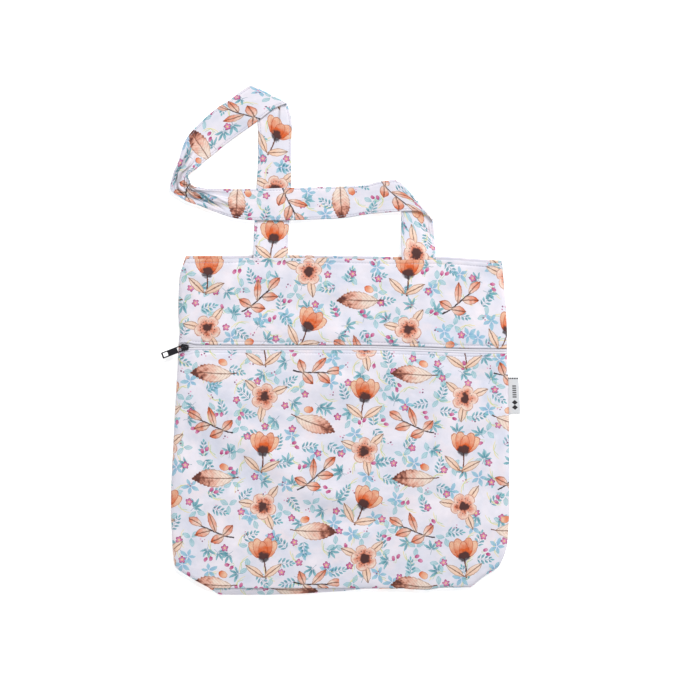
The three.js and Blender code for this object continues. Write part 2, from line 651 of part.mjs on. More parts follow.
const bag = new THREE.Group();
const add = (name, geometry, material, parent = bag) => {
  const mesh = new THREE.Mesh(geometry, material);
  mesh.name = name;
  parent.add(mesh);
  return mesh;
};

add("back_panel", backPanel(), print);
add("base_panel", basePanel(), print);
add("front_lower_panel", frontLowerPanel(), print);
add("front_upper_panel", frontUpperPanel(), print);
add("back_facing", backFacing(), print);
add("zip_tape_upper", zipTape(1), tapeCloth);
add("zip_tape_lower", zipTape(-1), tapeCloth);
add("zip_coil", zipCoil(), coilPlastic);
add("side_label", sideLabel(), labelCloth);
add("strap", strap(), print);
add("zip_slider", zipSlider(), blackMetal).position.set(sliderX, sliderY, 0);

const swing = new THREE.Group();
swing.position.set(sliderX, sliderY + pullShift, barHeight);
swing.rotation.set(0, -radians(pullDroop), radians(pullTurn), "ZYX");
add("zip_pull", zipPull(), blackMetal, swing);
bag.add(swing);

export default bag;
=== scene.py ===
"""A printed zip-front tote bag, lying on its back with its shoulder strap laid out above the mouth.

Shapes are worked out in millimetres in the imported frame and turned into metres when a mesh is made.
"""
import json
import math

import bpy
import numpy as np
from mathutils import Matrix, Vector

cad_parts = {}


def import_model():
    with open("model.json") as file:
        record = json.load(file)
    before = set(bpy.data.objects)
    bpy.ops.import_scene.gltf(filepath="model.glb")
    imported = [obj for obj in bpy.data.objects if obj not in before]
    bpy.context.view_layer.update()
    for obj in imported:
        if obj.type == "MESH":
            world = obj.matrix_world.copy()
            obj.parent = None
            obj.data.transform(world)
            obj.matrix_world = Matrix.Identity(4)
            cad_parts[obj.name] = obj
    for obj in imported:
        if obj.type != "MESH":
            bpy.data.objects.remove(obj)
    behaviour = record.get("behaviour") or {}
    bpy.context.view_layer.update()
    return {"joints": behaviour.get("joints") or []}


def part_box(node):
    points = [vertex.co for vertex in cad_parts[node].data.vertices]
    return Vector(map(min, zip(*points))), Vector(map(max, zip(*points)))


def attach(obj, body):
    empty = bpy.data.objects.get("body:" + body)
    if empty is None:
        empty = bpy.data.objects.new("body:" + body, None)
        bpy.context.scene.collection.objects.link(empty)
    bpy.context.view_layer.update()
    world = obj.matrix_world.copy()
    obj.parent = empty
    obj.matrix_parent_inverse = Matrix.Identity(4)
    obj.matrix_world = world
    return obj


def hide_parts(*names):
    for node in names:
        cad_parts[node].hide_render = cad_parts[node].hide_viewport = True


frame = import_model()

MM = 0.001


def rows_of(columns, rows):
    """A table's rows as dicts, by its columns' names."""
    return [dict(zip(columns.split(), row)) for row in rows]


# Bag body, in millimetres
BAG_WIDTH = 372
BAG_HEIGHT = 360
CLOTH = 1
FRONT_VISIBLE = 0.7  # what shows of the front's thickness at its edges
BASE_VISIBLE = 0.8
SEAM_GAP = 0.4
FLOOR_GAP = 0.02
EDGE_ROLL = 3.65
ROLL_REACH = 2.2
SEAM_TURN = 1.7  # the side seams turn down onto the back by this
SEAM_TURN_REACH = 0.5
CREASE_RISE = 1
LOFT = 7
LOFT_REACH = 70
MOUTH_LOFT = 0.55
CALM_REACH = 17.5
BACK_REVEAL = 3.4
REVEAL_REACH = 12
BASE_DEPTH = 72
BASE_SLIVER = 7.6
BASE_LAP = 3
BASE_INSET = 1.4
BASE_BEND = 1.6
BASE_CURL = 0.4
FACING_HEIGHT = 22
CREASE_BEND = 0.12
MOUTH_BEND = 0.26

# Zip
ZIP_HEIGHT = 0.732
ZIP_GAP = 5.5
TAPE_WIDTH = 13
TAPE_THICKNESS = 1
TAPE_VISIBLE = 0.7  # what shows of its thickness
TAPE_END = 0.4  # from the side seams
TAPE_SPLIT = 0.26
TAPE_PARTED = 3  # how far from its edge a tape makes room for the slider's neck
ZIP_STITCH = 3.3  # from the panels' edges
ZIP_DIP = 0.45
ZIP_DIP_REACH = 2.5
HEM_STITCH = 4.4
STITCH_DIP = 0.4
STITCH_DIP_REACH = 0.8
SLIDER_LENGTH = 8.4
SLIDER_WIDTH = 7.6
SLIDER_PLATE = 0.9
SLIDER_BEVEL = 0.22
POST_INSET = 1.6
SHOULDER = 1.5
SHOULDER_DROP = 0.6
SLIDER_ROOM = 1.1
SLIDER_INSET = 7
SLIDER_NECK = 1.5
BRIDGE_WIDTH = 1.5
BRIDGE_THICKNESS = 0.9
BRIDGE_INSET = 1.1
SLIDE_CLEARANCE = 0.35
COIL_PITCH = 1.4
COIL_WIRE = 0.18
COIL_OUT = 0.85  # from the zip's middle line to the middle of its coil
COIL_REACH = 0.95
COIL_RISE = 0.32
COIL_SINK = 0.5
COIL_END = 8

# Pull tab
PULL_LENGTH = 27
PULL_WIDTH = 7
PULL_THICKNESS = 1.2
PULL_BEVEL = 0.28
PULL_CORNER = 0.7
PULL_SIDE_RAIL = 1.35
PULL_END_RAIL = 1.8
PULL_INNER_WINDOW = 8
PULL_OUTER_WINDOW = 5.2
WINDOW_CORNER = 0.5
PANEL_END_INSET = 1.3  # the raised middle between the windows
PANEL_SIDE_INSET = 1.1
PANEL_RISE = 0.3
PANEL_BEVEL = 0.12
PULL_DROOP = 5
HINGE_CLEARANCE = 0.35

# Strap
STRAP_WIDTH = 38.5
STRAP_THICKNESS = 2.2
STRAP_REACH = 192
STRAP_LAYER_GAP = 0.5
STRAP_SEAT = 0.5
STRAP_STITCH = 2.6  # from its edges
STRAP_DIP = 0.35
STRAP_DIP_REACH = 0.7
STRAP_SQUARE = 18  # how full its edges are
STRAP_SLACK = 0.05
STRAP_THINNEST = 0.15
FOLD_STEPS = 12
PLEAT_DEPTH = 1.5
PLEAT_COUNT = 2

# Side label
LABEL_ROWS = 60
LABEL_COLUMNS = 22
LABEL_CLOTH = 0.8
LABEL_LAP = 1.2
LABEL_OUT = 10.5
LABEL_SLANT = 1.6
LABEL_LIFT = 1.25
LABEL_MIDDLE = 6.2
LABEL_DASHES = 38.8
LABEL_DIAMONDS = [7.0, 12.4]
LABEL_BARS = [18.4 + 2.4 * k for k in range(6)]

# Where each cloth is cut from the print
PRINT_PLACES = dict(
    lower=(0, 0), upper=(61, 38), back=(33, -71), facing=(-47, 96), base=(21, 120), strap=(24, 210),
)
STRAP_BACK_PRINT = 55
LOWER_SEED, UPPER_SEED, BACK_SEED = 11, 23, 41

# Gathers beside seams: how far apart, how high and how far they run out.
ZIP_PUCKER = dict(pitch=9, height=0.28, reach=9)
HEM_PUCKER = dict(pitch=16, height=0.4, reach=12)
SEAM_PUCKER = dict(pitch=13, height=0.3, reach=9)
BASE_PUCKER = dict(pitch=15, height=0.3, reach=8)
ZIP_SEED, SEAM_SEED, END_SEED = 3, 5, 9  # added to a cloth's seed

# Steps between the meshes' points, and rows of points by their distance from an edge
FINE_STEP = 2.2
ROW_STEP = 2.1
COARSE_STEP = 3
TAPE_STEP = 1.3
ZIP_ROWS = [0, 0.15, 0.35, 0.6, 0.9, 1.5, 2.1, 2.7, 3, 3.3, 3.6, 3.9, 4.5, 5.4]
HEM_ROWS = [0, 0.15, 0.4, 0.7, 1.1, 2, 3.2, 3.9, 4.4, 4.9, 5.6, 7]
FACING_ROWS = [FACING_HEIGHT, 18, 14, 10, 7, 5, 3.4, 2.2, 1.2, 0.6, 0.3, 0.1, 0]
BASE_ROWS = [2.6, 4, 6, 8, 10.5, 13, 16, 19, 22, 24.5, 28, 33, 39, 46, 54, 63, BASE_DEPTH]
TAPE_ROWS = [0, 0.1, 0.25, 0.45, 0.7, 1, 1.4, 1.9, 2.4, 2.9, 3.4, 4.2, 5.5, 7, 9, 11, TAPE_WIDTH]
BACK_ROW_COUNT = 130
FACING_COLUMNS = 133
BASE_COLUMNS = 190
THREAD_INSET = 3.5
BARE_ROWS = 2  # rulings without stitches beside a fold of the strap

# Side seams: up is a share of the height, left and right of half the width.
SIDES = rows_of("up left right", [
    (0, 0.776, 0.779),
    (0.031, 0.883, 0.85),
    (0.068, 0.977, 0.945),
    (0.141, 0.992, 0.99),
    (0.263, 0.999, 1.001),
    (0.397, 0.989, 1.001),
    (0.617, 0.966, 0.997),
    (0.7265, 0.954, 0.987),
    (0.779, 0.948, 0.988),
    (0.837, 0.956, 0.984),
    (0.947, 0.948, 0.968),
    (1, 0.911, 0.958),
])

# Lines across the bag: across is a share of half the width, crease and sliver are shares of BASE_SLIVER,
# and zip and mouth of the height.
LINES = rows_of("across crease sliver zip mouth", [
    (-1, 0, 0.15, 0.0025, 0.004),
    (-0.78, 0, 0.15, 0.0025, 0.0045),
    (-0.7, 0, 1, 0.0022, 0.0045),
    (-0.45, 0, 1, 0.002, 0.007),
    (0, 0, 0.5, 0.0015, 0.005),
    (0.16, 0, 0.15, 0.001, 0.0035),
    (0.36, 0, 0.12, -0.0015, 0.0012),
    (0.5, -0.2, 0.12, -0.004, 0.0014),
    (0.62, 0.12, 0.12, -0.0065, 0.001),
    (0.78, 0.18, 0.12, -0.009, -0.004),
    (1, 0.18, 0.12, -0.01, -0.012),
])

# Soft folds: middle and half-lengths as shares of half the width and of the height, turn in degrees,
# rise as a share of the loft.
FOLDS = rows_of("across up long wide turn rise", [
    (-0.86, 0.955, 0.2, 0.018, -14, 0.16),
    (-0.8, 0.9, 0.22, 0.02, -38, -0.14),
    (-0.1, 0.775, 0.9, 0.02, -1, 0.14),
    (0.55, 0.66, 0.5, 0.03, -8, 0.12),
    (-0.62, 0.3, 0.42, 0.05, 68, 0.16),
    (0.3, 0.24, 0.5, 0.05, 12, -0.15),
    (0.72, 0.45, 0.4, 0.04, 80, 0.14),
    (-0.15, 0.5, 0.5, 0.05, 30, -0.13),
])

# The front's lower, softer drape, on top of those.
DRAPE = rows_of("across up long wide turn rise", [
    (-0.46, 0.41, 0.42, 0.045, -37, 0.31),
    (-0.57, 0.34, 0.42, 0.05, -37, -0.232),
    (0.07, 0.275, 0.36, 0.035, -6, 0.248),
    (0.05, 0.22, 0.36, 0.035, -6, -0.186),
    (-0.72, 0.63, 0.26, 0.045, 78, 0.279),
    (0.88, 0.645, 0.2, 0.04, -4, -0.31),
    (0.85, 0.475, 0.2, 0.025, 6, -0.202),
    (0.8, 0.31, 0.3, 0.055, -30, -0.279),
    (0.55, 0.36, 0.3, 0.05, -30, 0.202),
    (0.86, 0.955, 0.18, 0.03, 18, -0.248),
    (0.1, 0.62, 0.5, 0.04, 4, 0.155),
    (-0.2, 0.86, 0.5, 0.03, -3, -0.155),
])

# The strap's rulings from its left end to its right end: x is a share of half the bag's width, y of
# STRAP_REACH above the mouth, span of STRAP_WIDTH, layer counts layers off the floor, pleat is a share of
# PLEAT_DEPTH and tuck of the mouth's height. fold is 1 where the strap turns over onto itself and -1 where
# it turns under.
STRAP_COLUMNS = "x y turn span layer pleat tuck fold"
STRAP = rows_of(STRAP_COLUMNS, [
    (-0.408, -0.146, 0, 1, 0, 0, 1, 0),
    (-0.408, 0.003, 0, 1, 0, 0, 1, 0),
    (-0.4066, 0.129, 0, 0.99, 0, 0, 0.3, 0),
    (-0.4, 0.27, 0, 0.99, 0, 0, 0, 0),
    (-0.392, 0.415, 0, 0.98, 0, 0, 0, 0),
    (-0.3865, 0.57, -3, 0.95, 0, 0, 0, 0),
    (-0.385, 0.725, -10, 0.97, 0, 0, 0, 0),
    (-0.396, 0.86, -24, 1.15, 0, 0, 0, 0),
    (-0.421, 0.95, -26.4, 1.17, 0, 0, 0, 1),
    (-0.481, 0.921, -26, 1.1, 1, 0, 0, 0),
    (-0.562, 0.861, -33, 1.03, 1, 0, 0, 0),
    (-0.673, 0.788, -52, 0.985, 0.3, 0, 0, 0),
    (-0.795, 0.69, -60, 0.95, 0.1, 0.1, 0, 0),
    (-0.865, 0.619, -55, 0.82, 0.4, 0.6, 0, 0),
    (-0.9034, 0.5444, -26, 0.54, 0.7, 1, 0, 0),
    (-0.9413, 0.487, -6, 0.43, 0.75, 1, 0, 0),
    (-0.944, 0.4327, 16, 0.6, 0.75, 1, 0, 0),
    (-0.8957, 0.388, 42, 0.51, 0.75, 1, 0, 0),
    (-0.8235, 0.3656, 70, 0.52, 0.75, 0.9, 0, 0),
    (-0.7319, 0.345, 83, 0.67, 0.7, 0.6, 0, 0),
    (-0.5988, 0.3232, 86, 0.85, 1, 0.2, 0, 0),
    (-0.498, 0.319, 90, 0.9, 1.12, 0, 0, 0),
    (-0.303, 0.322, 90, 0.93, 1.12, 0, 0, 0),
    (-0.12, 0.328, 90, 0.93, 0.4, 0, 0, 0),
    (0.028, 0.334, 90, 0.9, 0.05, 0, 0, 0),
    (0.152, 0.347, 93, 0.84, 0.25, 0, 0, 0),
    (0.2765, 0.364, 115, 0.96, 0.9, 0, 0, 0),
    (0.383, 0.37, 131, 1.2, 1, 0, 0, 0),
    (0.4527, 0.34, 131, 1.43, 1, 0, 0, -1),
    (0.459, 0.255, 133, 1.38, 0, 0, 0, 0),
    (0.462, 0.1375, 150, 1.12, 0, 0, 0.35, 0),
    (0.464, 0.02, 174, 0.97, 0, 0, 0.98, 0),
    (0.4645, -0.02, 180, 0.96, 0, 0, 1, 0),
    (0.4645, -0.146, 180, 0.96, 0, 0, 1, 0),
])

HALF_WIDTH = BAG_WIDTH / 2
BASE_Y = -BAG_HEIGHT / 2
MOUTH_Y = BAG_HEIGHT / 2
ZIP_Y = BASE_Y + ZIP_HEIGHT * BAG_HEIGHT


# Shape functions; x, y and distances are arrays in millimetres.
def follow(table, key, value, at):
    """Monotone cubic through a table's rows."""
    x = np.array([row[key] for row in table], float)
    y = np.array([row[value] for row in table], float)
    at = np.clip(np.asarray(at, float), x[0], x[-1])
    step = np.diff(x)
    slope = np.diff(y) / step
    tangent = np.empty(len(x))
    tangent[0] = slope[0]
    tangent[-1] = slope[-1]
    a, b = slope[:-1], slope[1:]
    safe = np.where(a * b > 0, a + b, 1)
    tangent[1:-1] = np.where(a * b > 0, 2 * a * b / safe, 0)
    i = np.clip(np.searchsorted(x, at, side="right") - 1, 0, len(x) - 2)
    t = (at - x[i]) / step[i]
    return (
        (2 * t**3 - 3 * t**2 + 1) * y[i]
        + (t**3 - 2 * t**2 + t) * step[i] * tangent[i]
        + (3 * t**2 - 2 * t**3) * y[i + 1]
        + (t**3 - t**2) * step[i] * tangent[i + 1]
    )


def rise(distance, reach):
    return 1 - np.exp(-np.maximum(distance, 0) / reach)


def hat(distance, reach):
    return np.maximum(0, 1 - np.abs(distance) / reach)


def bell(distance, reach):
    return np.exp(-((distance / reach) ** 2))


def left_edge(y):
    return -HALF_WIDTH * follow(SIDES, "up", "left", (y - BASE_Y) / BAG_HEIGHT)


def right_edge(y):
    return HALF_WIDTH * follow(SIDES, "up", "right", (y - BASE_Y) / BAG_HEIGHT)


def line(x, column):
    return follow(LINES, "across", column, np.asarray(x) / HALF_WIDTH)


def sliver(x):
    return BASE_SLIVER * line(x, "sliver")


def bent_y(x, y):
    """Where a point of the straight pattern lies on the bag."""
    return (
        y
        + BASE_SLIVER * line(x, "crease") * hat(y - BASE_Y, CREASE_BEND * BAG_HEIGHT)
        + BAG_HEIGHT * line(x, "zip") * hat(y - ZIP_Y, MOUTH_BEND * BAG_HEIGHT)
        + BAG_HEIGHT * line(x, "mouth") * hat(y - MOUTH_Y, MOUTH_BEND * BAG_HEIGHT)
    )


def from_seams(x, y):
    """Distance from the nearer side seam."""
    return np.minimum(x - left_edge(y), right_edge(y) - x)


NOISE_CELLS = 64
NOISE_START = (31.7, 17.3)


def noise(x, y, size, seed):
    """Smooth random height from -1 to 1 with bumps about size across."""
    heights = np.random.default_rng(seed).uniform(-1, 1, (NOISE_CELLS, NOISE_CELLS))
    u, v = x / size + NOISE_START[0], y / size + NOISE_START[1]
    i, j = np.floor(u).astype(int), np.floor(v).astype(int)
    s, t = u - i, v - j
    s, t = s * s * (3 - 2 * s), t * t * (3 - 2 * t)

    def corner(a, b):
        return heights[(i + a) % NOISE_CELLS, (j + b) % NOISE_CELLS]

    near = corner(0, 0) * (1 - s) + corner(1, 0) * s
    far = corner(0, 1) * (1 - s) + corner(1, 1) * s
    return near * (1 - t) + far * t


def ridges(wave):
    """Noise as sharp ridges over soft valleys, about 0 on average."""
    return (1 - np.abs(wave)) ** 3 - 0.3


def heading(degrees):
    return math.cos(math.radians(degrees)), math.sin(math.radians(degrees))


def turned(x, y, degrees):
    c, s = heading(degrees)
    return x * c + y * s, y * c - x * s


def fold_rise(x, y, folds=FOLDS):
    total = 0
    for fold in folds:
        u, v = turned(x - fold["across"] * HALF_WIDTH, y - BASE_Y - fold["up"] * BAG_HEIGHT, fold["turn"])
        u = u / (fold["long"] * HALF_WIDTH)
        v = v / (fold["wide"] * BAG_HEIGHT)
        total = total + fold["rise"] * LOFT * np.exp(-u * u - v * v)
    return total


def front_top(x, y):
    """Height of the front's outer face over a point of the straight pattern."""
    left = x - left_edge(y)
    right = right_edge(y) - x
    up = y - BASE_Y

    def sides(reach):
        return rise(left, reach) * rise(right, reach)

    closed = sides(ROLL_REACH) * rise(up + sliver(x) + CREASE_RISE, ROLL_REACH)
    opened = MOUTH_LOFT + (1 - MOUTH_LOFT) * rise(MOUTH_Y - y, LOFT_REACH)
    calm = sides(CALM_REACH) * rise(up, CALM_REACH)
    return (
        2 * CLOTH + SEAM_GAP + EDGE_ROLL * closed
        + LOFT * sides(LOFT_REACH) * rise(up, LOFT_REACH) * opened + fold_rise(x, y) * calm
    )


# Wrinkles: turn in degrees, size in millimetres, stretch along the ridge and height in millimetres.
WRINKLES = [(12, 30, 3.4, 0.6), (-35, 22, 3, 0.4), (75, 36, 2.6, 0.55), (40, 12, 2.2, 0.16)]
WRINKLE_PATCH = 60
PATCH_SEED = 40


def creases(x, y, seed):
    """Soft wrinkles of thin cloth, a few tenths of a millimetre high and stronger in some patches."""
    total = 0
    for k, (turn, size, stretch, height) in enumerate(WRINKLES):
        u, v = turned(x, y, turn)
        patch = 0.5 + 0.5 * noise(x, y, WRINKLE_PATCH, seed + k + PATCH_SEED)
        total = total + height * ridges(noise(u / stretch, v, size, seed + k)) * patch
    return total


def pucker(along, off, pitch, height, reach, seed):
    """Gathers that run out from a line of stitches."""
    wave = noise(along, off * 0.15, pitch, seed) + 0.5 * noise(along, off * 0.2, pitch * 0.47, seed + 1)
    return height * wave * np.exp(-np.abs(off) / reach)


def cut(cloth, x, y, edge):
    """Where a cloth's points lie on the print, and how far they are from its folded edges."""
    right, up = PRINT_PLACES[cloth]
    return np.stack([x + right, y + up, edge], -1)


def run_along(path):
    """Distance along a path at each of its points."""
    return np.concatenate([[0], np.cumsum(np.linalg.norm(np.diff(path, axis=0), axis=1))])


# Meshes
def linked(name, data):
    obj = bpy.data.objects.new(name, data)
    bpy.context.scene.collection.objects.link(obj)
    return obj


def mesh_object(name, points, faces, cloth=None):
    """A smooth object from points in millimetres. The attribute cloth keeps flat-cloth millimetres and,
    as its third number, the distance from the nearest folded edge or strap crease, near which the print is
    darkened as painted shade."""
    mesh = bpy.data.meshes.new(name)
    points = np.asarray(points, float).reshape(-1, 3)
    mesh.from_pydata((points * MM).tolist(), [], np.asarray(faces).tolist())
    if cloth is not None:
        attribute = mesh.attributes.new("cloth", "FLOAT_VECTOR", "POINT")
        attribute.data.foreach_set("vector", np.asarray(cloth, np.float32).reshape(-1))
    mesh.shade_smooth()
    return linked(name, mesh)


def grid_faces(rows, columns, wrap=False):
    index = np.arange(rows * columns).reshape(rows, columns)
    if wrap:
        index = np.concatenate([index, index[:, :1]], 1)
    a, b = index[:-1, :-1], index[:-1, 1:]
    c, d = index[1:, 1:], index[1:, :-1]
    return np.stack([a, b, c, d], -1).reshape(-1, 4)


def sheet_object(name, x, y, z, cloth, thickness, flipped=False):
    """A grid of points as cloth of that thickness under its outer face."""
    faces = grid_faces(*x.shape)
    obj = mesh_object(name, np.stack([x, y, z], -1), faces[:, ::-1] if flipped else faces, cloth)
    solid = obj.modifiers.new("thickness", "SOLIDIFY")
    solid.thickness = thickness * MM
    solid.offset = -1
    return obj


def steps(length, first, last, middle, fine=(0, 0.3, 0.7, 1.2, 2, 3.2, 5)):
    """Distances from 0 to length, middle apart, finer near the ends that ask for it."""
    start = list(fine) if first else [0]
    end = [length - f for f in reversed(fine)] if last else [length]
    count = max(2, int((end[0] - start[-1]) / middle))
    inner = np.linspace(start[-1], end[0], count + 1)[1:-1]
    return np.array(start + list(inner) + end)


TUBE_UP = np.array([0.05, 0.1, 1.0])  # no thread or wire runs along this


def tube(path, radius, sides=8, closed_ends=True):
    """A round thread or wire along a path in millimetres, as (points, faces)."""
    path = np.asarray(path, float)
    along = np.gradient(path, axis=0)
    along /= np.linalg.norm(along, axis=1, keepdims=True)
    side = np.cross(along, TUBE_UP)
    side /= np.linalg.norm(side, axis=1, keepdims=True)
    other = np.cross(side, along)
    angle = np.linspace(0, 2 * math.pi, sides, endpoint=False)
    width = np.full(len(path), float(radius))
    if closed_ends:
        width[[0, -1]] *= 0.05
    ring = path[:, None] + width[:, None, None] * (
        np.cos(angle)[None, :, None] * side[:, None] + np.sin(angle)[None, :, None] * other[:, None]
    )
    return ring.reshape(-1, 3), grid_faces(len(path), sides, wrap=True)


def joined(name, pieces):
    """One object from several (points, faces)."""
    points, faces, count = [], [], 0
    for p, f in pieces:
        points.append(p)
        faces.append(np.asarray(f) + count)
        count += len(p)
    return mesh_object(name, np.concatenate(points), np.concatenate(faces))


# A stitch's points: shares of its length, and how high they stand.
STITCH_SHARES = np.array([0, 0.08, 0.3, 0.5, 0.7, 0.92, 1])
STITCH_ARCH = np.array([-0.8, 0.2, 0.9, 1, 0.9, 0.2, -0.8])


def stitches(name, paths, length=2.7, gap=0.7, radius=0.22, stand=0.082):
    """Rows of separate stitches along paths on a cloth's face."""
    pieces = []
    for path in paths:
        path = np.asarray(path, float)
        run = run_along(path)
        start = gap
        while start + length < run[-1]:
            at = start + length * STITCH_SHARES
            points = np.stack([np.interp(at, run, path[:, k]) for k in range(3)], -1)
            points[:, 2] += stand * STITCH_ARCH
            pieces.append(tube(points, radius, 6))
            start += length + gap
    return joined(name, pieces)


# Bag body
SLIDER_X = float(left_edge(ZIP_Y)) + SLIDER_INSET
FLARE = SLIDER_WIDTH / 2 + SLIDER_ROOM - ZIP_GAP / 2


def half_opening(x):
    return ZIP_GAP / 2 + FLARE * bell(x - SLIDER_X, SLIDER_LENGTH)


def across_grid(rows, middle=FINE_STEP):
    """x for each row of y: fine near both seams, measured from the nearer one."""
    near = steps(BAG_WIDTH, True, True, middle)
    from_left = left_edge(rows)[:, None] + near
    from_right = right_edge(rows)[:, None] - (BAG_WIDTH - near)
    blend = np.clip(0.5 + (near / BAG_WIDTH - 0.5) / 0.9, 0, 1)
    return from_left * (1 - blend) + from_right * blend


def seam_roll(x, y):
    """The side seams turn down onto the back."""
    return -SEAM_TURN * np.exp(-np.maximum(from_seams(x, y), 0) / SEAM_TURN_REACH)


def turned_edge(off, radius=0.9):
    """Height lost towards a folded edge, off away from it."""
    t = np.clip(off / radius, 0, 1)
    return -radius * (1 - np.sqrt(1 - (1 - t) ** 2))


def zip_dip(off):
    """The panels come down to the tape towards their edges at the zip."""
    return -ZIP_DIP * np.exp(-np.maximum(off, 0) / ZIP_DIP_REACH)


def stitch_dip(off, row):
    """A row of stitches draws the cloth in."""
    return -STITCH_DIP * bell(off - row, STITCH_DIP_REACH)


def front_piece(name, rows, cloth, seed):
    """The front above or below the zip; drape and wrinkles fade out towards its edges."""
    x = across_grid(rows)
    y = np.repeat(rows[:, None], x.shape[1], 1)
    above = cloth == "upper"
    y = np.maximum(y, ZIP_Y + half_opening(x)) if above else np.minimum(y, ZIP_Y - half_opening(x))
    off_zip = np.abs(y - ZIP_Y) - half_opening(x)
    off_end = MOUTH_Y - y if above else y - BASE_Y
    inside = from_seams(x, y)
    calm = rise(inside, 12) * rise(y - BASE_Y, 10) * rise(off_zip, 6)
    z = front_top(x, y) + seam_roll(x, y)
    z = z + (creases(x, y, seed) + fold_rise(x, y, DRAPE)) * calm
    z = z + pucker(x, off_zip, **ZIP_PUCKER, seed=seed + ZIP_SEED) * rise(off_zip, 2.2) * rise(inside, 8)
    z = z + pucker(y, inside, **SEAM_PUCKER, seed=seed + SEAM_SEED) * rise(inside, 4)
    z = z + turned_edge(off_zip, 0.8) + zip_dip(off_zip) + stitch_dip(off_zip, ZIP_STITCH)
    end_pucker = HEM_PUCKER if above else BASE_PUCKER
    z = z + pucker(x, off_end, **end_pucker, seed=seed + END_SEED) * rise(inside, 8)
    if above:
        z = z + turned_edge(off_end) + stitch_dip(off_end, HEM_STITCH)
    else:
        z = z + turned_edge(off_end + 0.3, 1.2)
    z = np.maximum(z, FRONT_VISIBLE + FLOOR_GAP)
    edge = np.minimum(np.minimum(inside, off_zip), off_end)
    return sheet_object(name, x, bent_y(x, y), z, cut(cloth, x, y, edge), FRONT_VISIBLE)


def front_lower():
    edge = ZIP_Y - ZIP_GAP / 2 - np.array(ZIP_ROWS[::-1])
    rows = BASE_Y + steps(ZIP_Y - BASE_Y, True, False, ROW_STEP)
    rows = np.concatenate([rows[rows < edge[0] - 1], edge])
    return front_piece("front_lower_cloth", rows, "lower", LOWER_SEED)


def front_upper():
    edge = ZIP_Y + ZIP_GAP / 2 + np.array(ZIP_ROWS)
    top = MOUTH_Y - np.array(HEM_ROWS[::-1])
    middle = np.arange(edge[-1] + 2, top[0] - 1, ROW_STEP)
    return front_piece("front_upper_cloth", np.concatenate([edge, middle, top]), "upper", UPPER_SEED)


def back():
    rows = np.linspace(BASE_Y + BASE_DEPTH + SEAM_GAP, MOUTH_Y, BACK_ROW_COUNT)
    x = across_grid(rows, COARSE_STEP)
    y = np.repeat(rows[:, None], x.shape[1], 1)
    inside = from_seams(x, y)
    bent = bent_y(x, y) + BACK_REVEAL * np.clip((y - MOUTH_Y + REVEAL_REACH) / REVEAL_REACH, 0, 1)
    z = CLOTH + 0.25 * (creases(x, y, BACK_SEED) + 0.4) * rise(inside, 10) * rise(MOUTH_Y - y, 8)
    cloth = cut("back", x, y, np.minimum(inside, MOUTH_Y - y))
    return sheet_object("back_cloth", x, bent, z, cloth, CLOTH)


def facing():
    rows = MOUTH_Y - np.array(FACING_ROWS)[:, None]
    inset = EDGE_ROLL + CLOTH
    left, right = left_edge(rows) + inset, right_edge(rows) - inset
    x = left + (right - left) * np.linspace(0, 1, FACING_COLUMNS)
    off = MOUTH_Y - np.repeat(rows, FACING_COLUMNS, 1)
    y = MOUTH_Y - off
    z = 2 * CLOTH + SEAM_GAP + turned_edge(off) + 0.15 * noise(x, y, 21, 5) * rise(off, 3)
    bent = bent_y(x, np.full_like(x, MOUTH_Y)) - off + BACK_REVEAL
    return sheet_object("facing_cloth", x, bent, z, cut("facing", x, y, off), CLOTH)


def softened(profile, count=21, blur=0.55, share=0.45):
    """More rows than a profile has, each a mean of the rows near it, so that its corners are round."""
    rows = []
    for k in np.linspace(0, len(profile) - 1, count):
        off = np.abs(np.arange(len(profile)) - k)
        weight = np.maximum(0, 1 - off) + share * bell(off, blur)
        rows.append(np.tensordot(weight / weight.sum(), profile, 1))
    return np.array(rows)


def base():
    """Laps behind the front's crease, runs down to the floor and under the bag to the back's seam."""
    share = np.linspace(0, 1, BASE_COLUMNS)
    left, right = left_edge(BASE_Y) + BASE_INSET, right_edge(BASE_Y) - BASE_INSET
    top = left + (right - left) * share
    crease = bent_y(top, np.full_like(top, BASE_Y))
    low = crease - sliver(top)
    under = front_top(top, np.full_like(top, BASE_Y)) - CLOTH - 2 * SEAM_GAP
    fall = softened(np.array([
        (crease + BASE_LAP, under),
        (crease + 1, under),
        (crease - sliver(top) / 4, under),
        (low, np.minimum(BASE_BEND * CLOTH, under - CLOTH)),
        (low, np.full_like(top, BASE_CURL * CLOTH)),
        (low + BASE_CURL * CLOTH, np.zeros_like(top)),
    ]))
    rows = BASE_Y + np.array(BASE_ROWS)[:, None]
    left, right = left_edge(rows) + SEAM_GAP, right_edge(rows) - SEAM_GAP
    under_x = left + (right - left) * share
    x = np.vstack([np.repeat(top[None, :], len(fall), 0), under_x])
    y = np.vstack([fall[:, 0], bent_y(under_x, rows + 0 * under_x)])
    z = np.maximum(np.vstack([fall[:, 1], 0 * under_x]), FLOOR_GAP)
    z[:12] += 0.25 * noise(x[:12], y[:12] * 0.3, 12, 77)
    run = np.cumsum(np.vstack([0 * x[:1], np.hypot(np.diff(y, axis=0), np.diff(z, axis=0))]), 0)
    low = bent_y(x, np.full_like(x, BASE_Y)) - sliver(x)
    cloth = cut("base", x, -run, 1.5 + np.abs(y - low))
    return sheet_object("base_cloth", x, y, z, cloth, BASE_VISIBLE, flipped=True)


# Strap
def strap_shares(count=76):
    edge = [0, 0.004, 0.012, 0.026, 0.045, 0.058, 0.068, 0.078, 0.092, 0.115]
    inner = np.linspace(0.115, 0.885, count)[1:-1]
    return np.array([*edge, *inner, *[1 - e for e in reversed(edge)]])


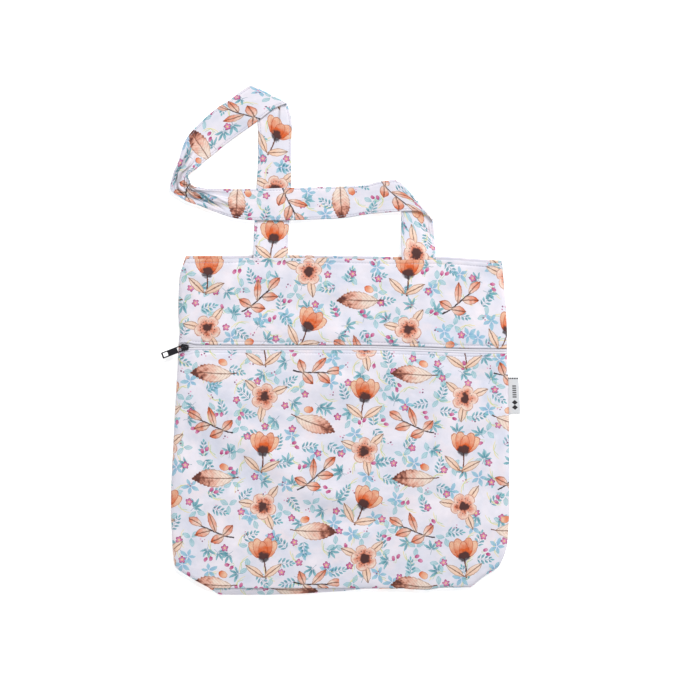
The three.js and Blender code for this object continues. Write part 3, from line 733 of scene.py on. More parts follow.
def strap_ruling(row, shares):
    """One line of points across the strap."""
    pitch = STRAP_THICKNESS + STRAP_LAYER_GAP
    off = (shares - 0.5) * row["span"] * STRAP_WIDTH
    c, s = heading(row["turn"])
    x = row["x"] * HALF_WIDTH + off * c
    y = MOUTH_Y + row["y"] * STRAP_REACH + off * s
    laid = STRAP_THICKNESS / 2 + row["layer"] * pitch
    under = front_top(x, np.minimum(y, MOUTH_Y)) - CLOTH - STRAP_SEAT - STRAP_THICKNESS / 2
    pleat = row["pleat"] * PLEAT_DEPTH * np.cos(2 * math.pi * PLEAT_COUNT * shares) * np.sin(math.pi * shares)
    z = laid + (under - laid) * row["tuck"] + pleat
    return np.stack([x, y, np.maximum(z, STRAP_THICKNESS / 2)], -1)


def strap_fold(before, row, after, shares):
    """Rulings round a fold, from one layer to the other."""
    pitch = STRAP_THICKNESS + STRAP_LAYER_GAP
    crease = np.array(heading(row["turn"]))
    inward = np.array([
        ((before["x"] + after["x"]) / 2 - row["x"]) * HALF_WIDTH,
        ((before["y"] + after["y"]) / 2 - row["y"]) * STRAP_REACH,
    ])
    inward = inward - crease * inward.dot(crease)
    inward = inward / np.linalg.norm(inward)
    rulings = []
    for k in range(FOLD_STEPS + 1):
        a = math.pi * (k / FOLD_STEPS - 0.5)
        back = pitch / 2 * (1 - math.cos(a))
        rulings.append(strap_ruling({
            **row,
            "x": row["x"] + inward[0] * back / HALF_WIDTH,
            "y": row["y"] + inward[1] * back / STRAP_REACH,
            "layer": 0.5 + 0.5 * row["fold"] * math.sin(a),
        }, shares))
    return rulings


def strap_middle(shares, between=10):
    """The strap's middle surface, ruling by ruling, how bunched it is at each, and at which ones it folds."""
    stretches = [[]]
    for row in STRAP:
        stretches[-1].append(row)
        if row["fold"]:
            stretches.append([{**row, "layer": 1 if row["fold"] > 0 else 0}])
    grid, pleats, turns = [], [], []
    for n, rows in enumerate(stretches):
        run = run_along(np.array([[r["x"] * HALF_WIDTH, r["y"] * STRAP_REACH] for r in rows]))
        keyed = [{**row, "run": r} for row, r in zip(rows, run)]
        for k, (here, there) in enumerate(zip(run[:-1], run[1:])):
            for j in range(between):
                if n and not k and not j:
                    continue
                at = here + (there - here) * j / between
                mixed = {c: float(follow(keyed, "run", c, at)) for c in STRAP_COLUMNS.split()[:-1]}
                grid.append(strap_ruling(mixed, shares))
                pleats.append(mixed["pleat"])
        last = rows[-1]
        if last["fold"]:
            turns.append(len(grid))
            grid += strap_fold(rows[-2], last, stretches[n + 1][1], shares)
        else:
            grid.append(strap_ruling(last, shares))
        pleats += [0] * (len(grid) - len(pleats))
    return np.array(grid), np.array(pleats), turns


# Creases of the strap in millimetres: each runs from first to last, counted along the strap from where it
# is bunched or folds, and moves from start to end across it.
STRAP_CREASES = rows_of("at first start last end depth", [
    ("bunch", -46, -7, 8, -17, 1.2),
    ("bunch", -40, 0, 16, -16, 1.4),
    ("bunch", -30, 9, 26, -15, 1.4),
    ("bunch", -10, 12, 40, -15, 1.9),
    ("bunch", -6, 15, 52, -14.5, 2),
    ("bunch", -4, 17, 64, -15.5, 1.6),
    ("bunch", -2, 18, 74, -8, 0.9),
    ("upper_fold", -36, 4.5, 0, 10, 0.9),
    ("lower_fold", -11, 16, 1, 14, 1.2),
    ("lower_fold", -13, 11, 1, 9, 1.2),
    ("lower_fold", -8, 2, 1, 0, 0.8),
    ("lower_fold", -10, -8, 1, -12, 1.2),
    ("lower_fold", 13, -12, 38, -15, 1),
    ("lower_fold", 13, -6, 30, -11, 0.8),
])
CREASE_REACH = 0.6
CREASE_START = 7
# Painted shade in the creases: distances to them are shortened by this, so that their middles are fully
# darkened.
CREASE_SHADE = 1.4


def strap_creases(u, run, span, places):
    """Depth of the strap's creases, and the distance from the nearest one."""
    total = 0
    nearest = 99
    for k, crease in enumerate(STRAP_CREASES):
        length = crease["last"] - crease["first"]
        along = run[:, None] - places[crease["at"]] - crease["first"]
        share = np.clip(along / length, 0, 1)
        place = crease["start"] + (crease["end"] - crease["start"]) * share**1.3
        place = place + 0.9 * noise(run[:, None], 0 * share, 11, 70 + k) * span[:, None]
        off = np.abs(u - place) * span[:, None]
        strong = rise(along, CREASE_START) * rise(length - along, CREASE_START)
        total = total + crease["depth"] * strong * bell(off, CREASE_REACH)
        nearest = np.minimum(nearest, off + 3 * (1 - strong))
    return total, nearest


def gathers(u, run, turns):
    """Small puckers of the edges where the strap folds."""
    total = 0
    for turn in turns:
        wave = noise(run[:, None] + 0.25 * u, np.sign(u) * 40, 3.4, 90 + turn)
        total = total + 0.6 * bell(run[:, None] - run[turn], 16) * np.maximum(wave, 0) * np.exp(
            (np.abs(u) - STRAP_WIDTH / 2) / 6)
    return total


def strap_half(shares, inside, u, run):
    """Half the strap's thickness: full up to its rolled edges, drawn in at the stitches, uneven."""
    full = np.sqrt(np.maximum(0, 1 - np.abs(2 * shares - 1) ** STRAP_SQUARE))
    stitched = STRAP_DIP * bell(inside - STRAP_STITCH, STRAP_DIP_REACH)
    uneven = 0.12 * noise(u, run, 13, 3) + 0.1 * noise(u * 2, run, 6, 4)
    half = STRAP_THICKNESS / 2 * full - stitched + uneven * full * rise(inside, 3) - STRAP_SLACK
    half[:, [0, -1]] = 0
    return half


def around(upper, lower):
    """Across the strap's upper face and back across its lower one, at each ruling."""
    return np.concatenate([upper, lower[:, -2:0:-1]], 1)


def strap():
    """Returns the strap, the points of its side that shows, their places across it, and its folds."""
    shares = strap_shares()
    u = (shares - 0.5) * STRAP_WIDTH
    inside = (STRAP_WIDTH / 2 - np.abs(u))[None, :]
    middle, bunched, turns = strap_middle(shares)
    normal = np.cross(np.gradient(middle, axis=1), np.gradient(middle, axis=0))
    normal /= np.linalg.norm(normal, axis=2, keepdims=True)
    centre = len(shares) // 2
    run = run_along(middle[:, centre])
    span = np.linalg.norm(middle[:, -1] - middle[:, 0], axis=1) / STRAP_WIDTH
    half = strap_half(shares, inside, u[None, :], run[:, None])
    places = dict(bunch=run[bunched > 0.99].mean(), upper_fold=run[turns[0]], lower_fold=run[turns[1]])
    depth, crease_off = strap_creases(u[None, :], run, span, places)
    bunch = noise(u[None, :] + 2.5 * np.sin(run[:, None] / 23), run[:, None] / 9, 4.6, 61)
    pinch = 1.2 * ridges(bunch) * bunched[:, None] - depth - gathers(u[None, :], run, turns)
    pinch = np.maximum(pinch * rise(inside, 1.5), STRAP_THINNEST - 2 * half)
    # The cloth that faces up takes the creases.
    shows = (normal[:, centre, 2] > 0)[:, None]
    upper = middle + normal * (half + pinch * shows)[:, :, None]
    lower = middle - normal * (half + pinch * ~shows)[:, :, None]
    for face in (upper, lower):
        face[:, :, 2] = np.maximum(face[:, :, 2], FLOOR_GAP)
    # Painted shade: the face that shows is darkened along its edges and, fully, in its creases; the face
    # beneath only along its edges.
    plain = np.repeat(inside, len(run), 0)
    painted_shade = np.minimum(plain, crease_off - CREASE_SHADE)
    edge = around(np.where(shows, painted_shade, plain), np.where(shows, plain, painted_shade))
    across, along = np.meshgrid(around(u[None, :], u[None, :] + STRAP_BACK_PRINT)[0], run)
    faces = grid_faces(*edge.shape, wrap=True)
    obj = mesh_object("strap_cloth", around(upper, lower), faces, cut("strap", across, along, edge))
    return obj, np.where(shows[:, :, None], upper, lower), u, turns


# Zip
def parted(x):
    """Half the gap between the tapes, wider at the slider's neck."""
    at_neck = 1 - rise(x - SLIDER_X - SLIDER_NECK, SLIDER_LENGTH / 4)
    return TAPE_SPLIT / 2 + (SLIDER_NECK / 2 + SLIDE_CLEARANCE) * at_neck


def tape(name, side):
    """Half of the zip's tape; side is 1 above the teeth and -1 below."""
    width = float(right_edge(ZIP_Y) - left_edge(ZIP_Y)) - 2 * TAPE_END
    x = float(left_edge(ZIP_Y)) + TAPE_END + steps(width, True, True, TAPE_STEP)
    out = np.array(TAPE_ROWS)[:, None]
    y = ZIP_Y + side * (out + np.where(out < TAPE_PARTED, parted(x), TAPE_SPLIT / 2))
    x = np.repeat(x[None, :], len(out), 0)
    z = front_top(x, y) + seam_roll(x, y) - CLOTH - SEAM_GAP + turned_edge(out + 0 * x, 0.5)
    z = np.maximum(z + 0.12 * noise(x, 0 * y, 17, 8), CLOTH + TAPE_VISIBLE + 0.1)
    cloth = np.stack([x, side * (y - ZIP_Y), 0 * x], -1)
    return sheet_object(name, x, bent_y(x, y), z, cloth, TAPE_VISIBLE, flipped=side < 0)


def teeth():
    """The coil under the tapes: one wound wire for each half."""
    start = SLIDER_X + SLIDER_NECK / 2 + SLIDE_CLEARANCE
    end = float(right_edge(ZIP_Y)) - COIL_END
    turns = np.arange(0, (end - start) / COIL_PITCH, 1 / 10)
    x = start + turns * COIL_PITCH
    angle = turns * 2 * math.pi
    middle = front_top(x, np.full_like(x, ZIP_Y)) - CLOTH - TAPE_THICKNESS - 2 * SEAM_GAP - COIL_SINK
    z = middle + COIL_RISE * np.sin(angle)
    pieces = []
    for side in (-1, 1):
        y = ZIP_Y + side * (COIL_OUT + COIL_REACH * np.cos(angle))
        pieces.append(tube(np.stack([x, bent_y(x, y), z], -1), COIL_WIRE, 5))
    return joined("zip_teeth", pieces)


def rounded(x0, x1, y0, y1, radius, count=5):
    """Points of a rounded rectangle."""
    points = []
    corners = [(x1 - radius, y0 + radius), (x1 - radius, y1 - radius), (x0 + radius, y1 - radius),
               (x0 + radius, y0 + radius)]
    for quarter, (cx, cy) in enumerate(corners):
        for k in range(count + 1):
            c, s = heading(90 * (quarter - 1 + k / count))
            points.append((cx + radius * c, cy + radius * s))
    return points


def plate(name, outline, holes, thickness, bevel):
    """A flat plate with softened edges, its middle plane at z = 0, as (points, faces) in millimetres."""
    curve = bpy.data.curves.new(name, "CURVE")
    curve.dimensions = "2D"
    curve.fill_mode = "BOTH"
    for loop in [outline, *holes]:
        spline = curve.splines.new("POLY")
        spline.points.add(len(loop) - 1)
        for point, (x, y) in zip(spline.points, loop):
            point.co = (x, y, 0, 1)
        spline.use_cyclic_u = True
    curve.extrude = thickness / 2 - bevel
    curve.bevel_depth = bevel
    curve.bevel_resolution = 2
    curve.offset = -bevel
    obj = linked(name, curve)
    bpy.context.view_layer.update()
    mesh = bpy.data.meshes.new_from_object(obj.evaluated_get(bpy.context.evaluated_depsgraph_get()))
    points = [tuple(v.co) for v in mesh.vertices]
    faces = [tuple(p.vertices) for p in mesh.polygons]
    bpy.data.objects.remove(obj)
    return points, faces


def placed(shape, matrix):
    points, faces = shape
    return [tuple(matrix @ Vector(p)) for p in points], faces


def hard_object(name, shapes):
    """One object from (points, faces) whose faces have any number of corners, with crisp edges."""
    points, faces = [], []
    for p, f in shapes:
        start = len(points)
        points += p
        faces += [tuple(i + start for i in face) for face in f]
    mesh = bpy.data.meshes.new(name)
    mesh.from_pydata([tuple(c * MM for c in p) for p in points], [], faces)
    mesh.shade_smooth()
    mesh.set_sharp_from_angle(angle=math.radians(38))
    return linked(name, mesh)


joint = frame["joints"][0]
HINGE = [c / MM for c in joint["pos_m"]]
PULL_TURN = math.atan2(-joint["axis"][0], joint["axis"][1])
slider_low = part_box("zip_slider")[0].z / MM
slider_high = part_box("zip_slider")[1].z / MM
slider_y = sum(c.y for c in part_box("zip_slider")) / 2 / MM


def domed(outline, thickness, shoulder, drop, rings=7):
    """A plate as (points, faces), flat below, its shoulder above rounded off and down by drop."""
    reach = max(abs(y) for _, y in outline)
    levels = [(1, -thickness / 2), (1, thickness / 2 - drop)]
    for k in range(1, rings + 1):
        a = math.pi / 2 * k / rings
        levels.append((1 - shoulder * (1 - math.cos(a)) / reach, thickness / 2 - drop * (1 - math.sin(a))))
    count = len(outline)
    points = [(x * scale, y * scale, z) for scale, z in levels for x, y in outline]
    faces = [tuple(reversed(range(count))), tuple(range((len(levels) - 1) * count, len(levels) * count))]
    for level in range(len(levels) - 1):
        for k in range(count):
            a, b = level * count + k, level * count + (k + 1) % count
            faces.append((a, b, b + count, a + count))
    return points, faces


def bridge_path(half, tall, corner, count=8):
    """Middle line of the slider's bridge: up, across and down, with round corners."""
    path = [(-half, 0)]
    for k in range(count + 1):
        a = math.pi / 2 * k / count
        path.append((-half + corner * (1 - math.cos(a)), tall - corner * (1 - math.sin(a))))
    return path + [(-x, z) for x, z in reversed(path)]


# Half of the slider's outline in shares of its half length and half width, from its nose to its tail.
SLIDER_OUTLINE = [(1, 0.5), (0.97, 0.66), (0.88, 0.78), (-0.55, 1), (-0.8, 0.95), (-0.94, 0.78), (-1, 0.5)]


def slider():
    half_length, half_width = SLIDER_LENGTH / 2, SLIDER_WIDTH / 2
    half_outline = [(x * half_length, y * half_width) for x, y in SLIDER_OUTLINE]
    outline = half_outline + [(x, -y) for x, y in reversed(half_outline)]
    nose = half_length * math.sin(math.radians(PULL_DROOP))
    plate_top = HINGE[2] - PULL_THICKNESS / 2 - nose - HINGE_CLEARANCE
    foot = plate_top - SLIDER_PLATE / 2
    neck, wire = SLIDER_NECK / 2, BRIDGE_THICKNESS / 2
    post_height = plate_top - slider_low - 0.2
    post = plate("post", rounded(POST_INSET - half_length, neck, -neck, neck, 0.3), [], post_height, 0.1)
    path = bridge_path(half_length - BRIDGE_INSET - wire, slider_high - foot - wire, 1)
    points, faces = tube([(x, 0, z) for x, z in path], wire, 12, closed_ends=False)
    broad = Matrix.Diagonal((1, BRIDGE_WIDTH / BRIDGE_THICKNESS, 1, 1))
    shapes = [
        (foot, domed(outline, SLIDER_PLATE, SHOULDER, SHOULDER_DROP)),
        (slider_low + SLIDER_PLATE / 2, plate("slider", outline, [], SLIDER_PLATE, SLIDER_BEVEL)),
        ((plate_top + slider_low) / 2, post),
        (foot, placed((points.tolist(), faces.tolist()), broad)),
    ]
    parts = [placed(shape, Matrix.Translation((SLIDER_X, slider_y, z))) for z, shape in shapes]
    return hard_object("slider_body", parts)


def pull():
    half, bar = PULL_WIDTH / 2, PULL_THICKNESS / 2
    side = half - PULL_SIDE_RAIL
    panel_side = half - PANEL_SIDE_INSET
    inner = -bar - PULL_INNER_WINDOW
    outer = PULL_END_RAIL - PULL_LENGTH
    outline = rounded(-PULL_LENGTH, bar, -half, half, PULL_CORNER)
    windows = [
        rounded(inner, -bar, -side, side, WINDOW_CORNER),
        rounded(outer, outer + PULL_OUTER_WINDOW, -side, side, WINDOW_CORNER),
    ]
    body = plate("pull", outline, windows, PULL_THICKNESS, PULL_BEVEL)
    raised = rounded(outer + PULL_OUTER_WINDOW + PANEL_END_INSET, inner - PANEL_END_INSET,
                     -panel_side, panel_side, PULL_CORNER)
    panel = plate("panel", raised, [], PULL_THICKNESS + PANEL_RISE, PANEL_BEVEL)
    turn = Matrix.Rotation(PULL_TURN, 4, "Z") @ Matrix.Rotation(-math.radians(PULL_DROOP), 4, "Y")
    place = Matrix.Translation(HINGE) @ turn
    return hard_object("pull_tab", [placed(body, place), placed(panel, place)])


def label():
    """A slightly waved tab that stands out of the side seam."""
    low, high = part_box("side_label")
    height = (high.y - low.y) / MM
    v = np.repeat(np.linspace(0, 1, LABEL_ROWS)[:, None], LABEL_COLUMNS, 1)
    u = np.repeat(np.linspace(0, 1, LABEL_COLUMNS)[None, :], LABEL_ROWS, 0)
    y = low.y / MM + v * height
    x = right_edge(y) + SEAM_GAP - LABEL_LAP + (LABEL_LAP + LABEL_OUT + LABEL_SLANT * (1 - v)) * u
    z = LABEL_LIFT + 0.5 * np.sin(u * 2.2) + 0.35 * u * np.sin(v * 4.2 + 0.6) + 0.1 * noise(x, y, 9, 2)
    z = z - 0.5 * np.clip((u - 0.93) / 0.07, 0, 1) ** 2
    cloth = np.stack([u * 11, v * height, 0 * u], -1)
    return sheet_object("label_tab", x, y, z, cloth, LABEL_CLOTH)


# Procedural materials
class Field:
    """A number or vector in a material, so that patterns can be written as sums and products."""

    def __init__(self, tree, socket):
        self.tree = tree
        self.socket = socket

    def _math(self, operation, *others, clamp=False):
        node = self.tree.nodes.new("ShaderNodeMath")
        node.operation = operation
        node.use_clamp = clamp
        for slot, value in zip(node.inputs, (self, *others)):
            if isinstance(value, Field):
                self.tree.links.new(value.socket, slot)
            else:
                slot.default_value = value
        return Field(self.tree, node.outputs[0])

    def __add__(self, other):
        return self._math("ADD", other)

    __radd__ = __add__

    def __mul__(self, other):
        return self._math("MULTIPLY", other)

    __rmul__ = __mul__

    def __sub__(self, other):
        return self._math("SUBTRACT", other)

    def __rsub__(self, other):
        return (self * -1) + other

    def __truediv__(self, other):
        return self._math("DIVIDE", other)

    def sin(self):
        return self._math("SINE")

    def cos(self):
        return self._math("COSINE")

    def floor(self):
        return self._math("FLOOR")

    def abs(self):
        return self._math("ABSOLUTE")

    def sqrt(self):
        return self._math("SQRT")

    def power(self, other):
        return self._math("POWER", other)

    def sign(self):
        return self._math("SIGN")

    def wrap(self, size):
        return self._math("FLOORED_MODULO", size)

    def angle(self, other):
        return self._math("ARCTAN2", other)

    def low(self, other):
        return self._math("MINIMUM", other)

    def high(self, other):
        return self._math("MAXIMUM", other)

    def times_plus(self, factor, more):
        return self._math("MULTIPLY_ADD", factor, more)

    def below(self, edge, soft):
        """1 where the field is under edge, 0 above it, with a soft border."""
        node = self.tree.nodes.new("ShaderNodeMapRange")
        node.interpolation_type = "SMOOTHSTEP"
        self.tree.links.new(self.socket, node.inputs[0])
        node.inputs[1].default_value = edge - soft
        node.inputs[2].default_value = edge + soft
        node.inputs[3].default_value = 1
        node.inputs[4].default_value = 0
        return Field(self.tree, node.outputs[0])


def split(tree, socket):
    node = tree.nodes.new("ShaderNodeSeparateXYZ")
    tree.links.new(socket, node.inputs[0])
    return [Field(tree, s) for s in node.outputs]


def combine(tree, *values):
    node = tree.nodes.new("ShaderNodeCombineXYZ")
    for slot, value in zip(node.inputs, values):
        if isinstance(value, Field):
            tree.links.new(value.socket, slot)
        else:
            slot.default_value = value
    return node.outputs[0]


def random_of(tree, x, y, seed):
    """Three random numbers for a cell."""
    node = tree.nodes.new("ShaderNodeTexWhiteNoise")
    node.noise_dimensions = "3D"
    tree.links.new(combine(tree, x, y, seed), node.inputs[0])
    return split(tree, node.outputs["Color"])


def mottle(tree, vector, scale, detail=2.0):
    """Smooth noise from 0 to 1."""
    node = tree.nodes.new("ShaderNodeTexNoise")
    tree.links.new(vector, node.inputs["Vector"])
    node.inputs["Scale"].default_value = scale
    node.inputs["Detail"].default_value = detail
    return Field(tree, node.outputs[0])


def colour_mix(tree, factor, a, b, blend="MIX"):
    node = tree.nodes.new("ShaderNodeMix")
    node.data_type = "RGBA"
    node.blend_type = blend
    for slot, value in zip((node.inputs[0], node.inputs[6], node.inputs[7]), (factor, a, b)):
        if isinstance(value, Field):
            tree.links.new(value.socket, slot)
        elif isinstance(value, bpy.types.NodeSocket):
            tree.links.new(value, slot)
        elif isinstance(value, (int, float)):
            slot.default_value = value
        else:
            slot.default_value = (*value, 1)
    return node.outputs[2]


def srgb(r, g, b):
    """A colour given as it shows on screen, from 0 to 255."""
    return tuple(((c / 255 + 0.055) / 1.055) ** 2.4 if c > 10 else c / 255 / 12.92 for c in (r, g, b))


def own_axes(u, v, cx, cy, rx, ry, degrees):
    """A place in an ellipse's own axes, in shares of its radii."""
    c, s = heading(degrees)
    a = u.times_plus(c / rx, v * (s / rx)) + (-(cx * c + cy * s) / rx)
    b = v.times_plus(c / ry, u * (-s / ry)) + ((cx * s - cy * c) / ry)
    return a, b


def oval(u, v, cx, cy, rx, ry, degrees=0):
    """Squared distance over an ellipse's radii: 1 on its border."""
    a, b = own_axes(u, v, cx, cy, rx, ry, degrees)
    return (b * b) + (a * a), a, b


def blade(u, v, cx, cy, rx, ry, degrees=0):
    """A pointed leaf: under 1 inside, with its own coordinates."""
    a, b = own_axes(u, v, cx, cy, rx, ry, degrees)
    return b.abs() + (a * a), a, b


INK = {
    "ground": srgb(251, 243, 250),
    "cloud_blue": srgb(224, 226, 240),
    "cloud_pink": srgb(245, 230, 234),
    "orange": srgb(226, 100, 44),
    "rust": srgb(170, 62, 32),
    "peach": srgb(246, 200, 170),
    "cream": srgb(250, 229, 214),
    "brown": srgb(112, 62, 44),
    "charcoal": srgb(58, 46, 50),
    "teal": srgb(104, 184, 190),
    "aqua": srgb(166, 216, 224),
    "blue": srgb(122, 176, 212),
    "deep_teal": srgb(56, 132, 150),
    "pink": srgb(186, 66, 126),
    "plum": srgb(120, 44, 96),
    "pale_pink": srgb(234, 158, 192),
    "yellow": srgb(240, 224, 118),
    "green": srgb(178, 208, 120),
}


class Painter:
    """Lays one colour over another in the print, with the watercolour's uneven wash at hand."""

    def __init__(self, tree, ground, wash):
        self.tree = tree
        self.colour = ground
        self.wash = wash

    def lay(self, mask, colour):
        self.colour = colour_mix(self.tree, mask, self.colour, colour)

    def wet(self, mask, fade, first, last, strength=1.0):
        """A patch that runs from its first colour at fade 0 to its last at 1."""
        blend = (fade + self.wash).high(0.0).low(1.0)
        self.lay(mask * strength, colour_mix(self.tree, blend, INK[first], INK[last]))

    def rim(self, distance, mask, colour, strength=0.5, width=0.09):
        """Pigment gathered along the inside of a patch's border, where distance is 1."""
        self.lay((distance - (1 - width)).abs().below(width, width * 0.8) * mask * strength, INK[colour])

    def leaf(self, u, v, place, size, turn, here, first, last, vein=None, strength=1.0):
        """A pointed leaf about place, half as long and half as wide as size says."""
        d, a, b = blade(u, v, *place, *size, turn)
        inside = d.below(1, 0.1) * here
        self.wet(inside, a * 0.5 + 0.5, first, last, strength)
        self.rim(d, inside, vein or last, 0.55)
        if vein:
            self.lay(b.abs().below(0.12, 0.09) * inside * 0.85, INK[vein])


def lattice(tree, x, y, wide, tall, jitter, turn, seed, repeat):
    """Half-drop cells: position from the cell's middle, turned by its own angle, and its random numbers."""
    i = (x / wide).floor()
    shifted = y + i.wrap(2.0) * (tall / 2)
    j = (shifted / tall).floor()
    r1, r2, r3 = random_of(tree, i.wrap(float(repeat)), j.wrap(float(repeat)), seed)
    u = x - (i + 0.5) * wide - (r1 - 0.5) * (2 * jitter)
    v = shifted - (j + 0.5) * tall - (r2 - 0.5) * (2 * jitter)
    node = tree.nodes.new("ShaderNodeVectorRotate")
    node.rotation_type = "Z_AXIS"
    tree.links.new(combine(tree, u, v, 0.0), node.inputs["Vector"])
    angle = (r3 - 0.5) * (2 * math.radians(turn))
    tree.links.new(angle.socket, node.inputs["Angle"])
    a, b, _ = split(tree, node.outputs[0])
    return a, b, (r1, r2, r3), (u, v), (i, j)


def turned_fields(x, y, degrees):
    c, s = heading(degrees)
    return x.times_plus(c, y * s), y.times_plus(c, x * -s)


BIG_WIDE, BIG_TALL, BIG_REPEAT = 55.0, 58.0, 4


def big_cell(tree, x, y):
    return lattice(tree, x, y, BIG_WIDE, BIG_TALL, 2.0, 34, 3.0, BIG_REPEAT)


LEAF_TONES = {-1: ("cream", "peach"), 1: ("peach", "cream")}

# Petals of the bloom: middle, half sizes, turn in degrees, and how pale they are.
BLOOM_PETALS = [
    (-8.2, 9.5, 5.8, 11, 34, 0.75),
    (8.2, 9.5, 5.8, 11, -34, 0.55),
    (-4.2, 11.5, 6, 11.5, 12, 0.25),
    (4.6, 11, 6, 11.5, -14, 0.45),
    (0, 9, 5.2, 10, 0, 0.05),
]


def paint_bloom(ink, u, v, here):
    """A flower seen from the side, with a dark heart, a stem and two long leaves."""
    stem = (u - (v * 0.09).sin() * 2.2).abs()
    ink.lay(stem.below(0.75, 0.25) * (v + 8.0).abs().below(15, 0.5) * here, INK["brown"])
    for side in (-1, 1):
        ink.leaf(u, v, (side * 10, -14), (12.5, 4.4), side * 36, here, *LEAF_TONES[side], "brown")
    for cx, cy, rx, ry, turn, tone in BLOOM_PETALS:
        d, a, b = oval(u, v, cx, cy, rx, ry, turn)
        inside = d.below(1, 0.07) * here
        ink.wet(inside, b * 0.65 + tone, "orange", "peach")
        ink.lay((a * 9.0 + ink.wash * 5).sin().abs().below(0.2, 0.2) * inside * 0.3, INK["rust"])
        ink.rim(d, inside, "rust", 0.7)
    heart = oval(u, v, 0, 1.6, 6.4, 5.8)[0]
    ink.lay((heart + ink.wash * 1.6).below(1.0, 0.4) * here * 0.92, INK["charcoal"])


def paint_open_flower(ink, u, v, here):
    """A flower seen from above with a dark middle, and three leaves behind it."""
    for turn in (24, 140, 262):
        c, s = heading(turn)
        ink.leaf(u, v, (17.5 * c, 17.5 * s), (10.5, 4.6), turn, here, "peach", "cream", "brown")
    r = (u * u + v * v).sqrt()
    theta = v.angle(u)
    reach = r / ((theta * 2.5).cos().abs().power(0.5) * 5.2 + 9.8)
    inside = reach.below(1, 0.04) * here
    ink.wet(inside, reach.power(1.3) * 1.25 - 0.2, "orange", "cream")
    streak = (theta * 17.0 + ink.wash * 6).sin().abs().below(0.22, 0.22)
    ink.lay(streak * inside * reach.below(0.8, 0.2) * 0.45, INK["rust"])
    ink.rim(reach, inside, "rust", 0.65, 0.035)
    ink.lay((r + ink.wash * 9).below(5.4, 1.4) * here * 0.93, INK["charcoal"])
    ring = (r - 8.0).abs().below(0.5, 0.35) * (theta * 8.0).sin().abs().below(0.5, 0.2)
    ink.lay(ring * here * 0.85, INK["charcoal"])


# Leaves of the spray: place along and off the stem, turn in degrees, and half length.
SPRAY_LEAVES = [
    (-16, 6.5, 124, 8.5),
    (-6, -6.5, -42, 9.5),
    (2, 8.5, 58, 10.5),
    (11, -6, -32, 10),
    (21, 4, 20, 9.5),
]


def paint_spray(ink, u, v, here):
    """A long bent stem with wide pale leaves that turn orange at their tips."""
    w = v - (u * 0.075).sin() * 4.0
    ink.lay(w.abs().below(0.8, 0.3) * (u + 2.0).abs().below(22, 0.6) * here, INK["charcoal"])
    for along, off, turn, half in SPRAY_LEAVES:
        ink.leaf(u, w, (along, off), (half, 4.6), turn, here, "cream", "orange", "brown")


def paint_broad_leaf(ink, u, v, here):
    """A broad ribbed leaf, pale at its stalk and smoky at its tip, with a bud beside it."""
    w = v - (u * 0.06).sin() * 3.0
    d, a, b = blade(u, w, 1, 0, 23, 10)
    inside = (d + ((u - b.abs() * 9) * 1.3).sin() * 0.05).below(1, 0.05) * here
    ink.wet(inside, a * 0.75 + 0.35, "cream", "orange")
    ribs = ((u - b.abs() * 9) * 0.85).sin().abs().below(0.16, 0.14)
    ink.lay(ribs * inside * 0.5, INK["brown"])
    smoke = 1 - (a + ink.wash * 1.6).below(0.5, 0.36)
    ink.lay(smoke * inside * 0.88, INK["charcoal"])
    ink.lay(b.abs().below(0.06, 0.04) * inside * 0.8, INK["brown"])
    ink.rim(d, inside, "brown", 0.5, 0.05)
    stalk = (w.abs().below(0.6, 0.3)) * (u + 24.0).abs().below(3, 0.4)
    ink.lay(stalk * here, INK["brown"])
    bud, p, _ = oval(u, v, -13, 10.5, 5.2, 3.8, 30)
    shape = bud.below(1, 0.08) * here
    ink.wet(shape, p * 0.6 + 0.4, "peach", "orange")
    ink.rim(bud, shape, "rust", 0.6)


def paint_sprig(ink, u, v, here):
    """A small stem with pairs of narrow leaves."""
    ink.lay(u.abs().below(0.2, 0.18) * v.abs().below(8, 0.3) * here * 0.75, INK["deep_teal"])
    step = (v + 8.0).wrap(4.1)
    taper = 1.15 - (v + 2.0).abs() * 0.06
    d, a, _ = blade(u.abs() / taper, step, 3.1, 2.2, 3.2, 1.15, 38)
    inside = d.below(1, 0.14) * v.abs().below(8.2, 0.25) * here
    ink.wet(inside, a * 0.4 + 0.35, "deep_teal", "aqua", 0.92)
    top = blade(v, u, 9.0, 0, 2.4, 1.05)[0]
    ink.lay(top.below(1, 0.13) * here * 0.9, INK["teal"])


def fan(ink, u, v, here, count, half, width, tones, strength):
    """Leaves that spread from one point, count of them in a full turn."""
    r = (u * u + v * v).sqrt()
    theta = v.angle(u) + 10 * math.pi
    part = 2 * math.pi / count
    t = theta.wrap(part) - part / 2
    reach = r / ((theta * 1.5).cos() * 0.14 + 1.0)
    d, a, b = blade(reach * t.cos(), reach * t.sin(), half + 0.6, 0, half, width)
    inside = d.below(1, 0.12) * here
    ink.wet(inside, a * 0.45 + 0.5, *tones, strength)
    ink.rim(d, inside, tones[0], 0.5, 0.12)
    ink.lay(b.abs().below(0.13, 0.12) * inside * 0.4, INK[tones[0]])


def paint_half_fan(ink, u, v, here):
    """Four teal leaves to one side of a short stalk."""
    upper = (v * -1).below(0.6, 0.5)
    ink.lay(u.abs().below(0.22, 0.18) * (v + 3.0).abs().below(3, 0.4) * here * 0.8, INK["deep_teal"])
    fan(ink, u, v, here * upper, 8, 4.6, 1.35, ("deep_teal", "aqua"), 0.95)


def paint_star_leaves(ink, u, v, here):
    """Five wide leaves all round, blue running into aqua."""
    fan(ink, u, v, here, 5, 4.4, 1.9, ("blue", "aqua"), 0.85)


def paint_pale_leaves(ink, u, v, here):
    """Three broad washed-out leaves."""
    fan(ink, u, v, here, 3, 5.0, 2.6, ("teal", "aqua"), 0.55)


def paint_posy(ink, u, v, here):
    """A little five-petalled flower."""
    r = (u * u + v * v).sqrt()
    reach = r / ((v.angle(u) * 2.5).cos().abs() * 1.7 + 2.5)
    inside = reach.below(1, 0.1) * here
    ink.wet(inside, 1 - reach.power(2.0), "pink", "pale_pink")
    ink.rim(reach, inside, "plum", 0.55, 0.1)
    ink.lay(r.below(0.85, 0.3) * here, INK["yellow"])


